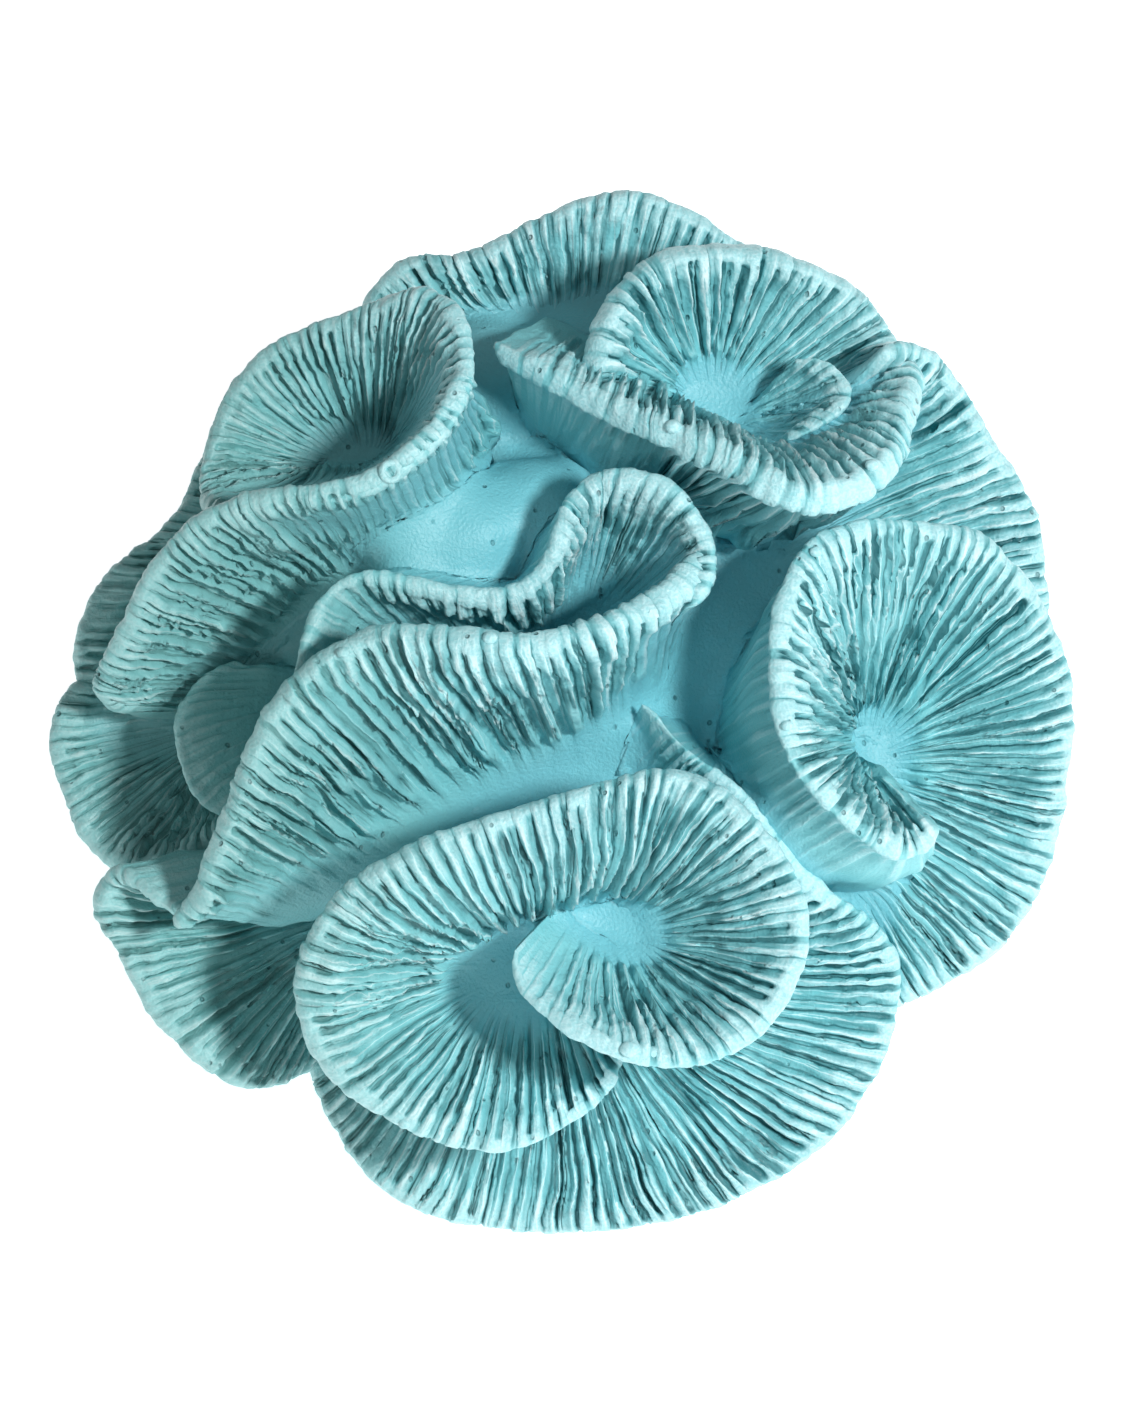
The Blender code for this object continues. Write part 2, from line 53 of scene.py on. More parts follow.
# %% [markdown]
# ## Where a plate's rim and root run
# The stations were read off the coral as it is seen looking down at 55 degrees, so they are written in
# that view: x to the right, y up, z towards the viewer, in millimetres. Each station holds a point of
# the rim, the point of the root below it, and how far the plate sinks away from its ridged side a
# third and two thirds of the way up. Another way would be to sculpt the plates, but a station list can
# be read, checked and changed by hand.

# %% Sizes
MM = 0.001
LOOK_DOWN_DEG = 55.0
CUT_LEVEL = -88.0
CUT_CENTRE_Y = 8.0
RIM_THICK = 5.0
THIN_LEAST = 0.4
EDGE_REACH = 1.3
END_ROUND = 6.0

# %% Stations of the plates, and the smooth floors between them
FRONT_CURL = [
    (12.5, -69, 4, 4, -62, 0, 0, 0),
    (8, -77, 4, 1, -60, 0, 1, 1),
    (-2, -85, 5, -4, -60, 0, 2, 1),
    (-14, -88, 7, -9, -60, 0, 3, 0),
    (-29, -84, 9, -13, -59, 0, 4, 0),
    (-41, -77, 12, -16, -58, 0, 4, -1),
    (-49, -67, 16, -18, -56, 0, 4, -3),
    (-51, -54, 22, -18, -53, 0, 3, -5),
    (-45, -41, 27, -17, -50, 0, 0, -8),
    (-33, -32, 30, -14, -47, 0, -5, -11),
    (-16, -25, 30, -9, -43, 0, -9, -13),
    (0, -20, 30, -3, -40, 0, -11, -14),
    (12, -16.5, 30, 4, -39, 2, -10, -13),
    (23, -15, 30, 10, -40, 5, -7, -10),
    (34, -21, 31, 14, -42, 8, -3, -6),
    (42, -30, 31, 16, -44, 10, 0, -4),
    (47, -42, 31, 17, -46, 11, 1, -3),
    (45, -54, 31, 17, -48, 11, 2, -2),
    (37, -65, 32, 16, -49, 11, 2, -2),
    (24, -70, 34, 13, -50, 11, 2, -1),
    (11, -68, 35, 9, -49, 11, 2, 0),
    (0, -62, 32, 5, -47, 11, 2, 0),
    (-7, -56, 28, 1, -44, 11, 1, 0),
    (-9, -49, 24, -1, -41, 11, 0, 0),
]
FRONT_SKIRT = [
    (16, -1, 3, 10, -14, -14, 0, 0),
    (20.5, -6.5, 6, 12, -19, -15, 0, 0),
    (26, -12, 9, 14, -24, -16, 0, 0),
    (36, -20, 10, 20, -34, -16, 0, 0),
    (46, -33, 4, 25, -44, -16, 1, 0),
    (57, -42, -2, 26, -50, -16, 2, 0),
    (65, -50, -7, 25, -54, -16, 2, 0),
    (66.5, -60, -11, 22, -58, -16, 2, 0),
    (63, -73, -14, 18, -61, -16, 2, -1),
    (53, -88, -18, 13, -63, -16, 2, -2),
    (38, -98, -22, 9, -64, -16, 2, -2),
    (20, -104.5, -26, 5, -65, -16, 1, -3),
    (0, -106.5, -28, 0, -65, -16, 0, -3),
    (-18, -105, -28, -6, -64, -17, 0, -3),
    (-33, -99.5, -28, -12, -62, -18, 0, -3),
    (-43, -89, -27, -17, -60, -19, 0, -2),
    (-49, -76, -26, -20, -57, -20, 0, -1),
    (-52, -64, -26, -22, -54, -20, 0, 0),
]
CENTRE_WALL = [
    (-77, -45, 9, -60, -47, -8, 0, 0),
    (-72, -41, 13, -55, -45, -8, 1, 0),
    (-68, -31, 18, -48, -41, -6, 2, -1),
    (-63, -18, 24, -40, -34, -4, 3, -2),
    (-58, -5, 29, -32, -28, -3, 3, -3),
    (-50, 5.5, 32, -24, -23, -2, 3, -4),
    (-38, 12, 34, -16, -19, -2, 3, -4),
    (-22, 12, 36, -8, -15, -2, 3, -4),
    (-8, 10.5, 36, 0, -12, -3, 3, -3),
    (5, 12.5, 34, 8, -8, -4, 3, -2),
    (16, 17, 30, 15, -3, -5, 3, -1),
    (25, 22, 26, 21, 4, -6, 2, 0),
    (29, 30, 22, 24, 14, -6, 1, 0),
]
CENTRE_HOLLOW = [
    (-52, 2, 24, -38, 0, -6, 0, 0),
    (-49, 13, 20, -34, 6, -6, 0, 0),
    (-42, 23, 18, -28, 10, -6, 0, -1),
    (-31, 22.5, 18, -20, 11, -6, 0, -1),
    (-20, 20.5, 18, -12, 11, -6, 0, -1),
    (-9, 21, 18, -6, 12, -6, 0, -1),
    (-2, 27, 18, -2, 14, -6, 0, -1),
    (2, 37, 18, 1, 17, -6, 0, -1),
    (8, 43.5, 18, 4, 19, -6, 0, 0),
    (17, 43, 20, 6, 19, -6, 2, 0),
    (25, 37.5, 22, 8, 18, -6, 3, 0),
    (28.5, 28, 24, 8, 16, -6, 3, 0),
    (26, 19, 27, 6, 13, -6, 2, 0),
]
RIGHT_SHELL = [
    (75, -25, 16, 66, -15, 2, 0, 0),
    (69, -29, 18, 62, -15, -2, 1, 0),
    (60, -25, 22, 59, -13, -6, 1, -1),
    (51, -17, 26, 57, -11, -9, 0, -2),
    (46, -9, 28, 57, -9, -10, 0, -3),
    (43.5, 3, 29, 57, -7, -11, 0, -3),
    (44, 17, 27, 58, -6, -12, 0, -3),
    (49, 28.5, 23, 59, -5, -12, 1, -3),
    (60, 34, 18, 60, -5, -12, 2, -2),
    (72, 34, 12, 62, -5, -12, 3, -1),
    (84, 31, 5, 64, -6, -12, 3, -1),
    (94, 21, -2, 65, -7, -13, 3, -1),
    (100, 8, -7, 66, -9, -13, 3, -1),
    (101.5, -4, -10, 66, -11, -13, 2, -1),
    (99.5, -22, -13, 66, -15, -13, 2, -1),
    (96, -36, -16, 65, -20, -13, 2, -1),
    (87, -50, -19, 63, -28, -14, 2, -1),
    (76, -57, -21, 60, -34, -15, 1, -1),
    (66, -61, -23, 56, -38, -16, 1, -1),
    (58, -62, -25, 52, -40, -18, 0, 0),
]
RIGHT_PLATE = [
    (64, 69, 8, 38, 44, -6, 0, 0),
    (72, 69, 2, 40, 40, -8, 1, 0),
    (79, 62, -4, 42, 36, -10, 2, 0),
    (87, 50, -9, 43, 31, -12, 3, 0),
    (93, 40, -12, 44, 26, -13, 3, 0),
    (96, 28, -15, 45, 21, -14, 3, 0),
    (96, 15, -19, 46, 14, -16, 2, 0),
    (92, 0, -25, 47, 5, -20, 1, 0),
    (86, -14, -32, 46, -5, -25, 0, 0),
]
CROWN_CUP = [
    (13, 56, 8, 20, 60, -8, 0, 0),
    (9, 62, 8, 22, 61, -9, 0, 0),
    (9, 72, 7, 24, 62, -10, 1, 0),
    (14, 82, 5, 26, 63, -10, 2, 0),
    (24, 88, 3, 29, 64, -10, 3, 0),
    (38, 88.5, 0, 32, 64, -10, 3, 0),
    (52, 85, -3, 35, 63, -10, 3, 0),
    (61, 79, -6, 38, 62, -10, 2, 0),
    (66, 71, -6, 41, 60, -10, 1, 0),
    (70, 67, 4, 43, 58, -10, 1, -1),
    (68, 59, 14, 43, 56, -10, 1, -2),
    (65, 50, 24, 41, 55, -10, 1, -4),
    (57, 43, 31, 38, 54, -10, 1, -5),
    (46, 42, 33, 34, 54, -10, 1, -5),
    (36, 48, 30, 29, 56, -10, 1, -4),
    (25, 53, 25, 22, 60, -10, 1, -3),
    (14, 57, 19, 15, 65, -10, 1, -2),
    (4, 62.5, 14, 8, 70, -12, 0, -1),
    (-5, 67.5, 10, 2, 74, -14, 0, -1),
    (-13, 71.5, 5, -4, 77, -18, 0, 0),
]
CROWN_TONGUE = [
    (47, 68, 2, 38, 60, -8, 0, 0),
    (53, 66.5, 5, 38, 58, -8, 1, 0),
    (56.5, 61, 8, 38, 56, -8, 1, 0),
    (52, 56, 10, 37, 54, -8, 0, 0),
    (45, 52, 10, 36, 52, -8, 0, 0),
]
BACK_RUFFLE = [
    (-50, 62, -36, -24, 58, -34, 0, 0),
    (-44, 70, -32, -20, 62, -32, 0, 0),
    (-38, 81, -28, -18, 66, -30, 1, 0),
    (-30, 88.5, -26, -14, 69, -29, 2, 0),
    (-20, 89, -25, -8, 71, -28, 3, 0),
    (-8, 94.5, -24, -2, 72, -28, 3, 0),
    (3, 99.5, -23, 3, 73, -28, 3, -1),
    (13, 101.5, -22, 8, 73, -28, 3, -1),
    (23, 99, -22, 13, 72, -29, 3, -1),
    (33, 93, -24, 18, 71, -30, 3, -1),
    (44, 86.5, -28, 24, 69, -32, 2, 0),
    (56, 80, -32, 30, 66, -34, 2, 0),
    (68, 68, -36, 36, 60, -37, 1, 0),
    (78, 52, -40, 40, 50, -40, 0, 0),
]
UPPER_LEFT_CUP = [
    (-66, 37, 16, -50, 45, -8, 0, 0),
    (-70.5, 42, 4, -48, 46, -9, 0, 0),
    (-69, 53, -2, -46, 47, -10, 1, 0),
    (-63.5, 64, -2, -44, 48, -10, 2, 0),
    (-52, 72.5, 1, -41, 49, -10, 3, 0),
    (-38.5, 77.5, 6, -38, 49, -10, 3, -1),
    (-28, 80.5, 12, -36, 49, -10, 3, -2),
    (-21, 76, 18, -35, 48, -10, 2, -3),
    (-19.5, 66, 23, -35, 47, -10, 1, -3),
    (-22.5, 56, 27, -36, 46, -10, 0, -3),
    (-29, 49, 29, -38, 46, -10, 0, -2),
    (-37, 43.5, 29, -40, 46, -10, 0, -1),
    (-48, 40.5, 26, -44, 47, -10, 0, 0),
    (-58, 39.5, 22, -47, 48, -10, 0, 0),
]
UPPER_LEFT_CREST = [
    (-86, -2, -10, -70, -2, -24, 0, 0),
    (-92, 2, -5, -68, 2, -22, 0, 0),
    (-88, 11, 2, -64, 7, -20, 2, -1),
    (-83, 22, 9, -58, 13, -17, 3, -2),
    (-76, 31, 16, -52, 19, -13, 3, -3),
    (-67, 37, 21, -47, 23, -9, 3, -3),
    (-56, 40, 26, -43, 25, -5, 3, -3),
    (-46, 41, 29, -38, 28, -2, 2, -3),
    (-37, 43.5, 30, -32, 32, 0, 1, -3),
    (-29, 49, 30, -24, 38, 0, 0, -2),
    (-22, 57, 27, -17, 46, -2, 0, -1),
    (-18.5, 67, 22, -13, 56, -8, 0, 0),
]
LEFT_BACK_SKIRT = [
    (-88, -8, -28, -62, -4, -28, 0, 0),
    (-94, -1, -25, -60, 4, -28, 0, 0),
    (-97, 7, -23, -57, 11, -27, 1, 0),
    (-95.5, 17, -22, -54, 18, -26, 2, 0),
    (-89, 27, -22, -50, 24, -26, 2, 0),
    (-79, 35, -23, -46, 30, -26, 2, 0),
    (-73.5, 44, -26, -42, 36, -28, 2, 0),
    (-69, 54, -30, -38, 42, -30, 1, 0),
    (-60, 64, -36, -34, 48, -34, 0, 0),
]
LEFT_SHELL = [
    (-66, -25, -10, -64, -10, -26, 0, 0),
    (-75, -30, -12, -67, -10, -28, 1, 0),
    (-86, -33, -16, -69, -9, -29, 2, 0),
    (-94, -28.5, -20, -70, -7, -29, 2, 0),
    (-99, -18.5, -22, -70, -5, -29, 2, 0),
    (-101.5, -7, -22, -69, -3, -29, 2, 0),
    (-99, 1, -22, -68, -1, -29, 1, 0),
    (-93, 6, -24, -66, 1, -29, 0, 0),
]
LEFT_LOBE = [
    (-65, -24, 1, -54, -14, -10, -1, -3),
    (-72, -18.5, 0, -54, -8, -12, -2, -4),
    (-76, -8, -3, -54, -2, -14, -2, -4),
    (-74.5, 2, -8, -54, 3, -15, -1, -3),
    (-66, 8, -12, -52, 7, -15, 0, -1),
]
LOWER_LEFT_SHELL = [
    (-48, -70, -22, -40, -50, -22, 0, 0),
    (-54, -75, -19, -42, -50, -21, 0, 0),
    (-62, -77, -16, -44, -49, -20, 1, 0),
    (-73, -70.5, -13, -46, -47, -19, 2, -1),
    (-82, -61, -11, -47, -45, -18, 2, -1),
    (-88, -50, -9, -47, -43, -18, 2, -1),
    (-92, -41, -6, -47, -41, -17, 2, -1),
    (-88, -35, -1, -46, -39, -16, 2, -1),
    (-80, -40, 4, -44, -38, -15, 1, -2),
    (-72, -43, 5, -42, -38, -15, 0, -1),
]
BACK_SKIRT = [
    (-84, 6, -44, -50, 10, -34, -1, -2),
    (-90, 28, -52, -46, 24, -24, -3, -4),
    (-79, 50, -60, -40, 32, -17, -4, -5),
    (-62, 62, -50, -30, 39, -14, -4, -5),
    (-45, 78, -60, -20, 43, -12, -4, -5),
    (-22, 82, -49, -9, 46, -12, -4, -5),
    (2, 90, -60, 2, 47, -12, -4, -5),
    (26, 83, -49, 13, 46, -12, -4, -5),
    (48, 80, -60, 23, 43, -14, -4, -5),
    (65, 62, -50, 33, 37, -16, -4, -5),
    (84, 48, -59, 42, 30, -20, -3, -4),
    (91, 24, -50, 48, 20, -26, -2, -3),
    (86, 2, -42, 50, 8, -34, -1, -2),
]
FLOORS = [
    (-12, -55, 1, 13),
    (-16, -46, 0, 12),
    (4, -42, 4, 11),
    (16, -47, 11, 9),
    (60, -8, -11, 12),
    (61, -22, -13, 13),
    (56, -38, -14, 12),
    (28, 61, -9, 15),
    (39, 57, -9, 12),
    (8, 71, -19, 12),
    (-5, 73, -25, 11),
    (-43, 47, -8, 13),
    (-36, 46, -8, 12),
    (-8, 15, -5, 16),
    (-28, 6, -6, 14),
    (6, 20, -5, 13),
    (-15, 64, -12, 14),
    (2, 57, -21, 15),
    (26, 56, -22, 13),
    (-24, 60, -24, 15),
    (-18, 33, 10, 12),
    (-31, 33, 11, 10),
    (-5, 38, 5, 12),
    (8, -43, 9.5, 8),
    (1, -42, 8, 7),
    (12, -6, -2, 11),
    (9, -14, -6, 9),
]
# %% [markdown]
# ## A smooth line through the stations
# Between stations every number follows a natural cubic spline, the curve that a thin springy strip
# takes when it is held at a few points. The plates then curl smoothly however few stations there are.

# %% Spline and turning upright
def stand(points):
    """Points of the tilted view turned to the upright coral, in millimetres, with the cut at z = 0."""
    look = math.radians(LOOK_DOWN_DEG)
    x, y, z = np.moveaxis(np.asarray(points, float), -1, 0)
    up = y * math.cos(look) + z * math.sin(look)
    back = y * math.sin(look) - z * math.cos(look)
    return np.stack([x, back, up], axis=-1)


def natural_spline(knots, values, at):
    """A cubic curve through values at knots, read at other places."""
    count = len(knots)
    step = np.diff(knots)
    slope = np.diff(values, axis=0) / step[:, None]
    system = np.eye(count)
    right = np.zeros_like(values)
    for i in range(1, count - 1):
        system[i, i - 1 : i + 2] = step[i - 1], 2 * (step[i - 1] + step[i]), step[i]
        right[i] = 6 * (slope[i] - slope[i - 1])
    bend = np.linalg.solve(system, right)
    i = np.clip(np.searchsorted(knots, at, side="right") - 1, 0, count - 2)
    left = (at - knots[i])[:, None]
    h = step[i][:, None]
    a, b = bend[i], bend[i + 1]
    first = slope[i] - h * (2 * a + b) / 6
    return values[i] + left * first + left**2 * a / 2 + left**3 * (b - a) / (6 * h)


def unit(vectors):
    return vectors / np.maximum(np.linalg.norm(vectors, axis=-1, keepdims=True), 1e-9)


def smooth_step(low, high, value):
    t = np.clip((value - low) / (high - low), 0, 1)
    return t * t * (3 - 2 * t)


# %% [markdown]
# ## One plate as a fine skin
# A plate is a closed loft. Each section runs up the ridged face, round the rim and down the back. The
# columns stand close enough for every ridge to have several of them. Four numbers are kept on each
# point for the ridges and the colour: how far along the rim it is, how far up the plate it is, how
# much it belongs to the ridged face, and how much of its ridges the plate's ends leave it.

# %% Section loops of a plate
COLUMN_STEP = 0.4
FACE_ROWS = 44
EDGE_ROWS = 9
BACK_ROWS = 9
FACE_ROW_POWER = 0.8
BACK_TAPER_FROM = 0.7
EDGE_CALM = 0.7
BACK_RIDGED = 0.9


class Sheet(NamedTuple):
    """What one sheet is lofted from, in millimetres, and in shares of its rim or of its height.

    upright stations aren't in the tilted view. step is the distance between columns. ridged_back is
    the stretch of the rim, as shares, where the back is ridged too, which is past the end for most.
    The ridges grow in over plain_start and plain_end, and the plate thickens over thin_start.
    ridge_share scales its ridges, and its face runs on below the root by below_root of its height.
    """

    stations: list
    upright: bool = False
    step: float = COLUMN_STEP
    ridged_back: tuple = (2.0, 3.0)
    plain_start: float = 0.01
    plain_end: float = 0.01
    thin_start: float = 0.01
    edge_thick: float = 2.0
    root_thick: float = 9.0
    ridge_share: float = 1.0
    below_root: float = 0.2


def plate_loops(sheet):
    """The loops of one plate as columns x loop x 3, with its four numbers for each point."""
    data = np.array(sheet.stations, float)
    rim, root, sink = data[:, 0:3], data[:, 3:6], data[:, 6:8]
    if not sheet.upright:
        rim, root = stand(rim), stand(root)
    knots = np.concatenate([[0], np.cumsum(np.linalg.norm(np.diff(rim, axis=0), axis=1))])
    along = np.linspace(0, knots[-1], int(knots[-1] / sheet.step))
    table = natural_spline(knots, np.hstack([rim, root, sink]), along)
    rim, root, sink = table[:, 0:3], table[:, 3:6], table[:, 6:8]
    tangent = unit(np.gradient(rim, axis=0))
    chord = rim - root
    facing = unit(np.cross(tangent, chord))
    low = root + chord / 3 - facing * sink[:, 0:1]
    high = root + chord * 2 / 3 - facing * sink[:, 1:2]

    def surface(shares):
        v = np.array(shares, float)[None, :, None]
        p0, p1, p2, p3 = (p[:, None, :] for p in (root, low, high, rim))
        line = (1 - v) ** 3 * p0 + 3 * (1 - v) ** 2 * v * p1 + 3 * (1 - v) * v**2 * p2 + v**3 * p3
        rise = (1 - v) ** 2 * (p1 - p0) + 2 * (1 - v) * v * (p2 - p1) + v**2 * (p3 - p2)
        side = np.broadcast_to(tangent[:, None, :], line.shape)
        return line, unit(np.cross(side, rise)), unit(rise)

    ends = np.minimum(along, knots[-1] - along)
    rounding = np.sqrt(1 - (1 - np.clip(ends / END_ROUND, 0.05, 1)) ** 2)[:, None]
    below = (-sheet.below_root, -sheet.below_root / 2)
    front = np.concatenate([below, np.linspace(0, 1, FACE_ROWS) ** FACE_ROW_POWER])
    inner, normal, rise = surface(front)
    behind = np.linspace(1, 0, BACK_ROWS)
    face, back_normal, _ = surface(behind)
    body = RIM_THICK + (sheet.root_thick - RIM_THICK) * (1 - behind)
    thin = THIN_LEAST + (1 - THIN_LEAST) * smooth_step(0, sheet.thin_start, along)[:, None]
    taper = smooth_step(BACK_TAPER_FROM, 1, behind)
    thick = (body + (sheet.edge_thick - body) * taper) * rounding * thin
    outer = face - back_normal * thick[..., None]
    middle = (inner[:, -1] + outer[:, 0]) / 2
    half = (inner[:, -1] - outer[:, 0]) / 2
    turn = np.linspace(0, math.pi, EDGE_ROWS + 2)[1:-1][None, :, None]
    reach = rise[:, -1][:, None, :] * (EDGE_REACH * rounding[:, :, None])
    edge = middle[:, None, :] + half[:, None, :] * np.cos(turn) + reach * np.sin(turn)
    loops = np.concatenate([inner, edge, outer], axis=1)

    size = loops.shape[:2]
    plain = smooth_step(0, sheet.plain_start, along) * smooth_step(0, sheet.plain_end, knots[-1] - along)
    up = np.concatenate([front, np.ones(EDGE_ROWS), behind])
    share = along / knots[-1]
    back_share = (sheet.ridged_back[0] <= share) & (share <= sheet.ridged_back[1])
    round_edge = turn[0, :, 0]
    facing_front = np.concatenate([np.ones(len(front)), 1 - round_edge / math.pi, np.zeros(BACK_ROWS)])
    calm_edge = 1 - EDGE_CALM * np.sin(round_edge)
    on_edge = np.concatenate([np.ones(len(front)), calm_edge, np.ones(BACK_ROWS)])
    on_front = np.broadcast_to(facing_front[None, :], size)
    marks = {
        "along": np.broadcast_to(along[:, None] * MM, size),
        "up": np.broadcast_to(up[None, :], size),
        "front": np.maximum(on_front, back_share[:, None] * BACK_RIDGED),
        "ends": rounding * plain[:, None] * on_edge[None, :] * sheet.ridge_share,
    }
    return loops, marks


# %% [markdown]
# ## From loops to a mesh
# Neighbouring loops are joined with quads and each end is closed with one face, so the plate is a
# closed body. The sign of its volume tells whether the faces point outwards.

# %% Mesh of one or more plates
MARKS = ("along", "up", "front", "ends")


def plates_mesh(name, sheets):
    """One object with a closed skin for each sheet and the four numbers as point attributes."""
    points, faces, marks = [], [], {key: [] for key in MARKS}
    start = 0
    for sheet in sheets:
        loops, numbers = plate_loops(sheet)
        columns, loop = loops.shape[:2]
        i = np.arange(columns - 1)[:, None] * loop + start
        j = np.arange(loop)[None, :]
        k = (j + 1) % loop
        quads = np.stack([i + j, i + k, i + loop + k, i + loop + j], axis=-1).reshape(-1, 4)
        first, last = start, start + (columns - 1) * loop
        caps = [list(range(first, first + loop))[::-1], list(range(last, last + loop))]
        flat = loops.reshape(-1, 3)
        a, b, c, d = (flat[quads[:, n] - start] for n in range(4))
        volume = np.einsum("ij,ij->", a, np.cross(b, c)) + np.einsum("ij,ij->", a, np.cross(c, d))
        if volume < 0:
            quads = quads[:, ::-1]
            caps = [cap[::-1] for cap in caps]
        points.append(flat)
        faces += quads.tolist() + caps
        for key in MARKS:
            marks[key].append(numbers[key].reshape(-1))
        start += columns * loop
    place = np.vstack(points) + (0, -CUT_CENTRE_Y, -CUT_LEVEL)
    mesh = bpy.data.meshes.new(name)
    mesh.from_pydata((place * MM).tolist(), [], faces)
    for key in MARKS:
        layer = mesh.attributes.new(key, "FLOAT", "POINT")
        layer.data.foreach_set("value", np.concatenate(marks[key]).astype(np.float32))
    mesh.shade_smooth()
    obj = bpy.data.objects.new(name, mesh)
    bpy.context.scene.collection.objects.link(obj)
    return obj


# %% [markdown]
# ## Ridges with Geometry Nodes
# On the coral the ridges are the septa that stood round each mouth. Near a rim they are broad bands
# that lean like shingles, with narrow slits between them. Lower down they thin to sharp crests with
# wide smooth valleys, every second one dies out, and at the root they sink into smooth plaster. They
# could be modelled one by one, but there are over a thousand. The tree below turns the distance
# along the rim into a wave, shapes the wave by how far up the point is, and moves each point along
# its normal. The wave's count is kept on the mesh, so that the finish can draw the slits finer than
# the mesh is.

# %% A helper for nodes
KINDS = {"FADE": ("ShaderNodeMapRange", {"interpolation_type": "SMOOTHSTEP"})}
SUMS = "ADD SUBTRACT MULTIPLY DIVIDE POWER FLOOR FRACT MINIMUM MAXIMUM GREATER_THAN FLOORED_MODULO"
for operation in SUMS.split():
    KINDS[operation] = ("ShaderNodeMath", {"operation": operation})
for operation in ("SUBTRACT", "ADD", "SCALE", "LENGTH", "DOT_PRODUCT"):
    KINDS["VECTOR_" + operation] = ("ShaderNodeVectorMath", {"operation": operation})


def add_node(tree, kind, *values, inputs=None, output=0, **settings):
    """Adds one node, sets it up, fills its inputs in order or by name, and gives back one output.

    A value is a plain number, a colour, an object or another node's output. FADE turns a value's
    way from one limit to the other into a smooth step between two levels, 0 and 1 if none are given.
    """
    kind, ready = KINDS.get(kind, (kind, {}))
    node = tree.nodes.new(kind)
    for name, value in {**ready, **settings}.items():
        setattr(node, name, value)
    for key, value in [*enumerate(values), *(inputs or {}).items()]:
        if isinstance(value, bpy.types.NodeSocket):
            tree.links.new(value, node.inputs[key])
        else:
            node.inputs[key].default_value = value
    return node.outputs[output] if node.outputs else None


print("short names for kinds of nodes:", len(KINDS))

# %% Sizes that the ridge tree takes
RIDGE_SIZES = {
    "Ridge pitch": 0.0031,
    "Ridge height": 0.0033,
    "Back height": 0.0008,
    "Wobble": 0.7,
    "Bead height": 0.0006,
    "Fillet": 0.008,
    "Sink": 0.0,
    "Inside sink": 0.0001,
    "Overlap": 0.006,
    "Root fade": 0.15,
    "Slit ends": 0.25,
    "Seed": 0.0,
}


# %% The ridge tree
FOOT_DIP = (0.0, 0.0003, -0.0004)
SPACING_WANDER = 1.1
LEAN_LEAST, LEAN_MOST = 0.2, 0.8
# Each wavy field's grain in waves a metre, and what keeps it apart from the others
WAVES = {"wander": (60.0, 0.0), "fine wander": (240.0, 3.0), "lean": (22.0, 5.0), "rag": (260.0, 7.0)}
WAVES |= {"rim": (50.0, 9.0), "beads": (900.0, 11.0), "smear": (38.0, 13.0)}
PUTTY = ((80.0, 0.0013), (260.0, 0.0006), (700.0, 0.0002))


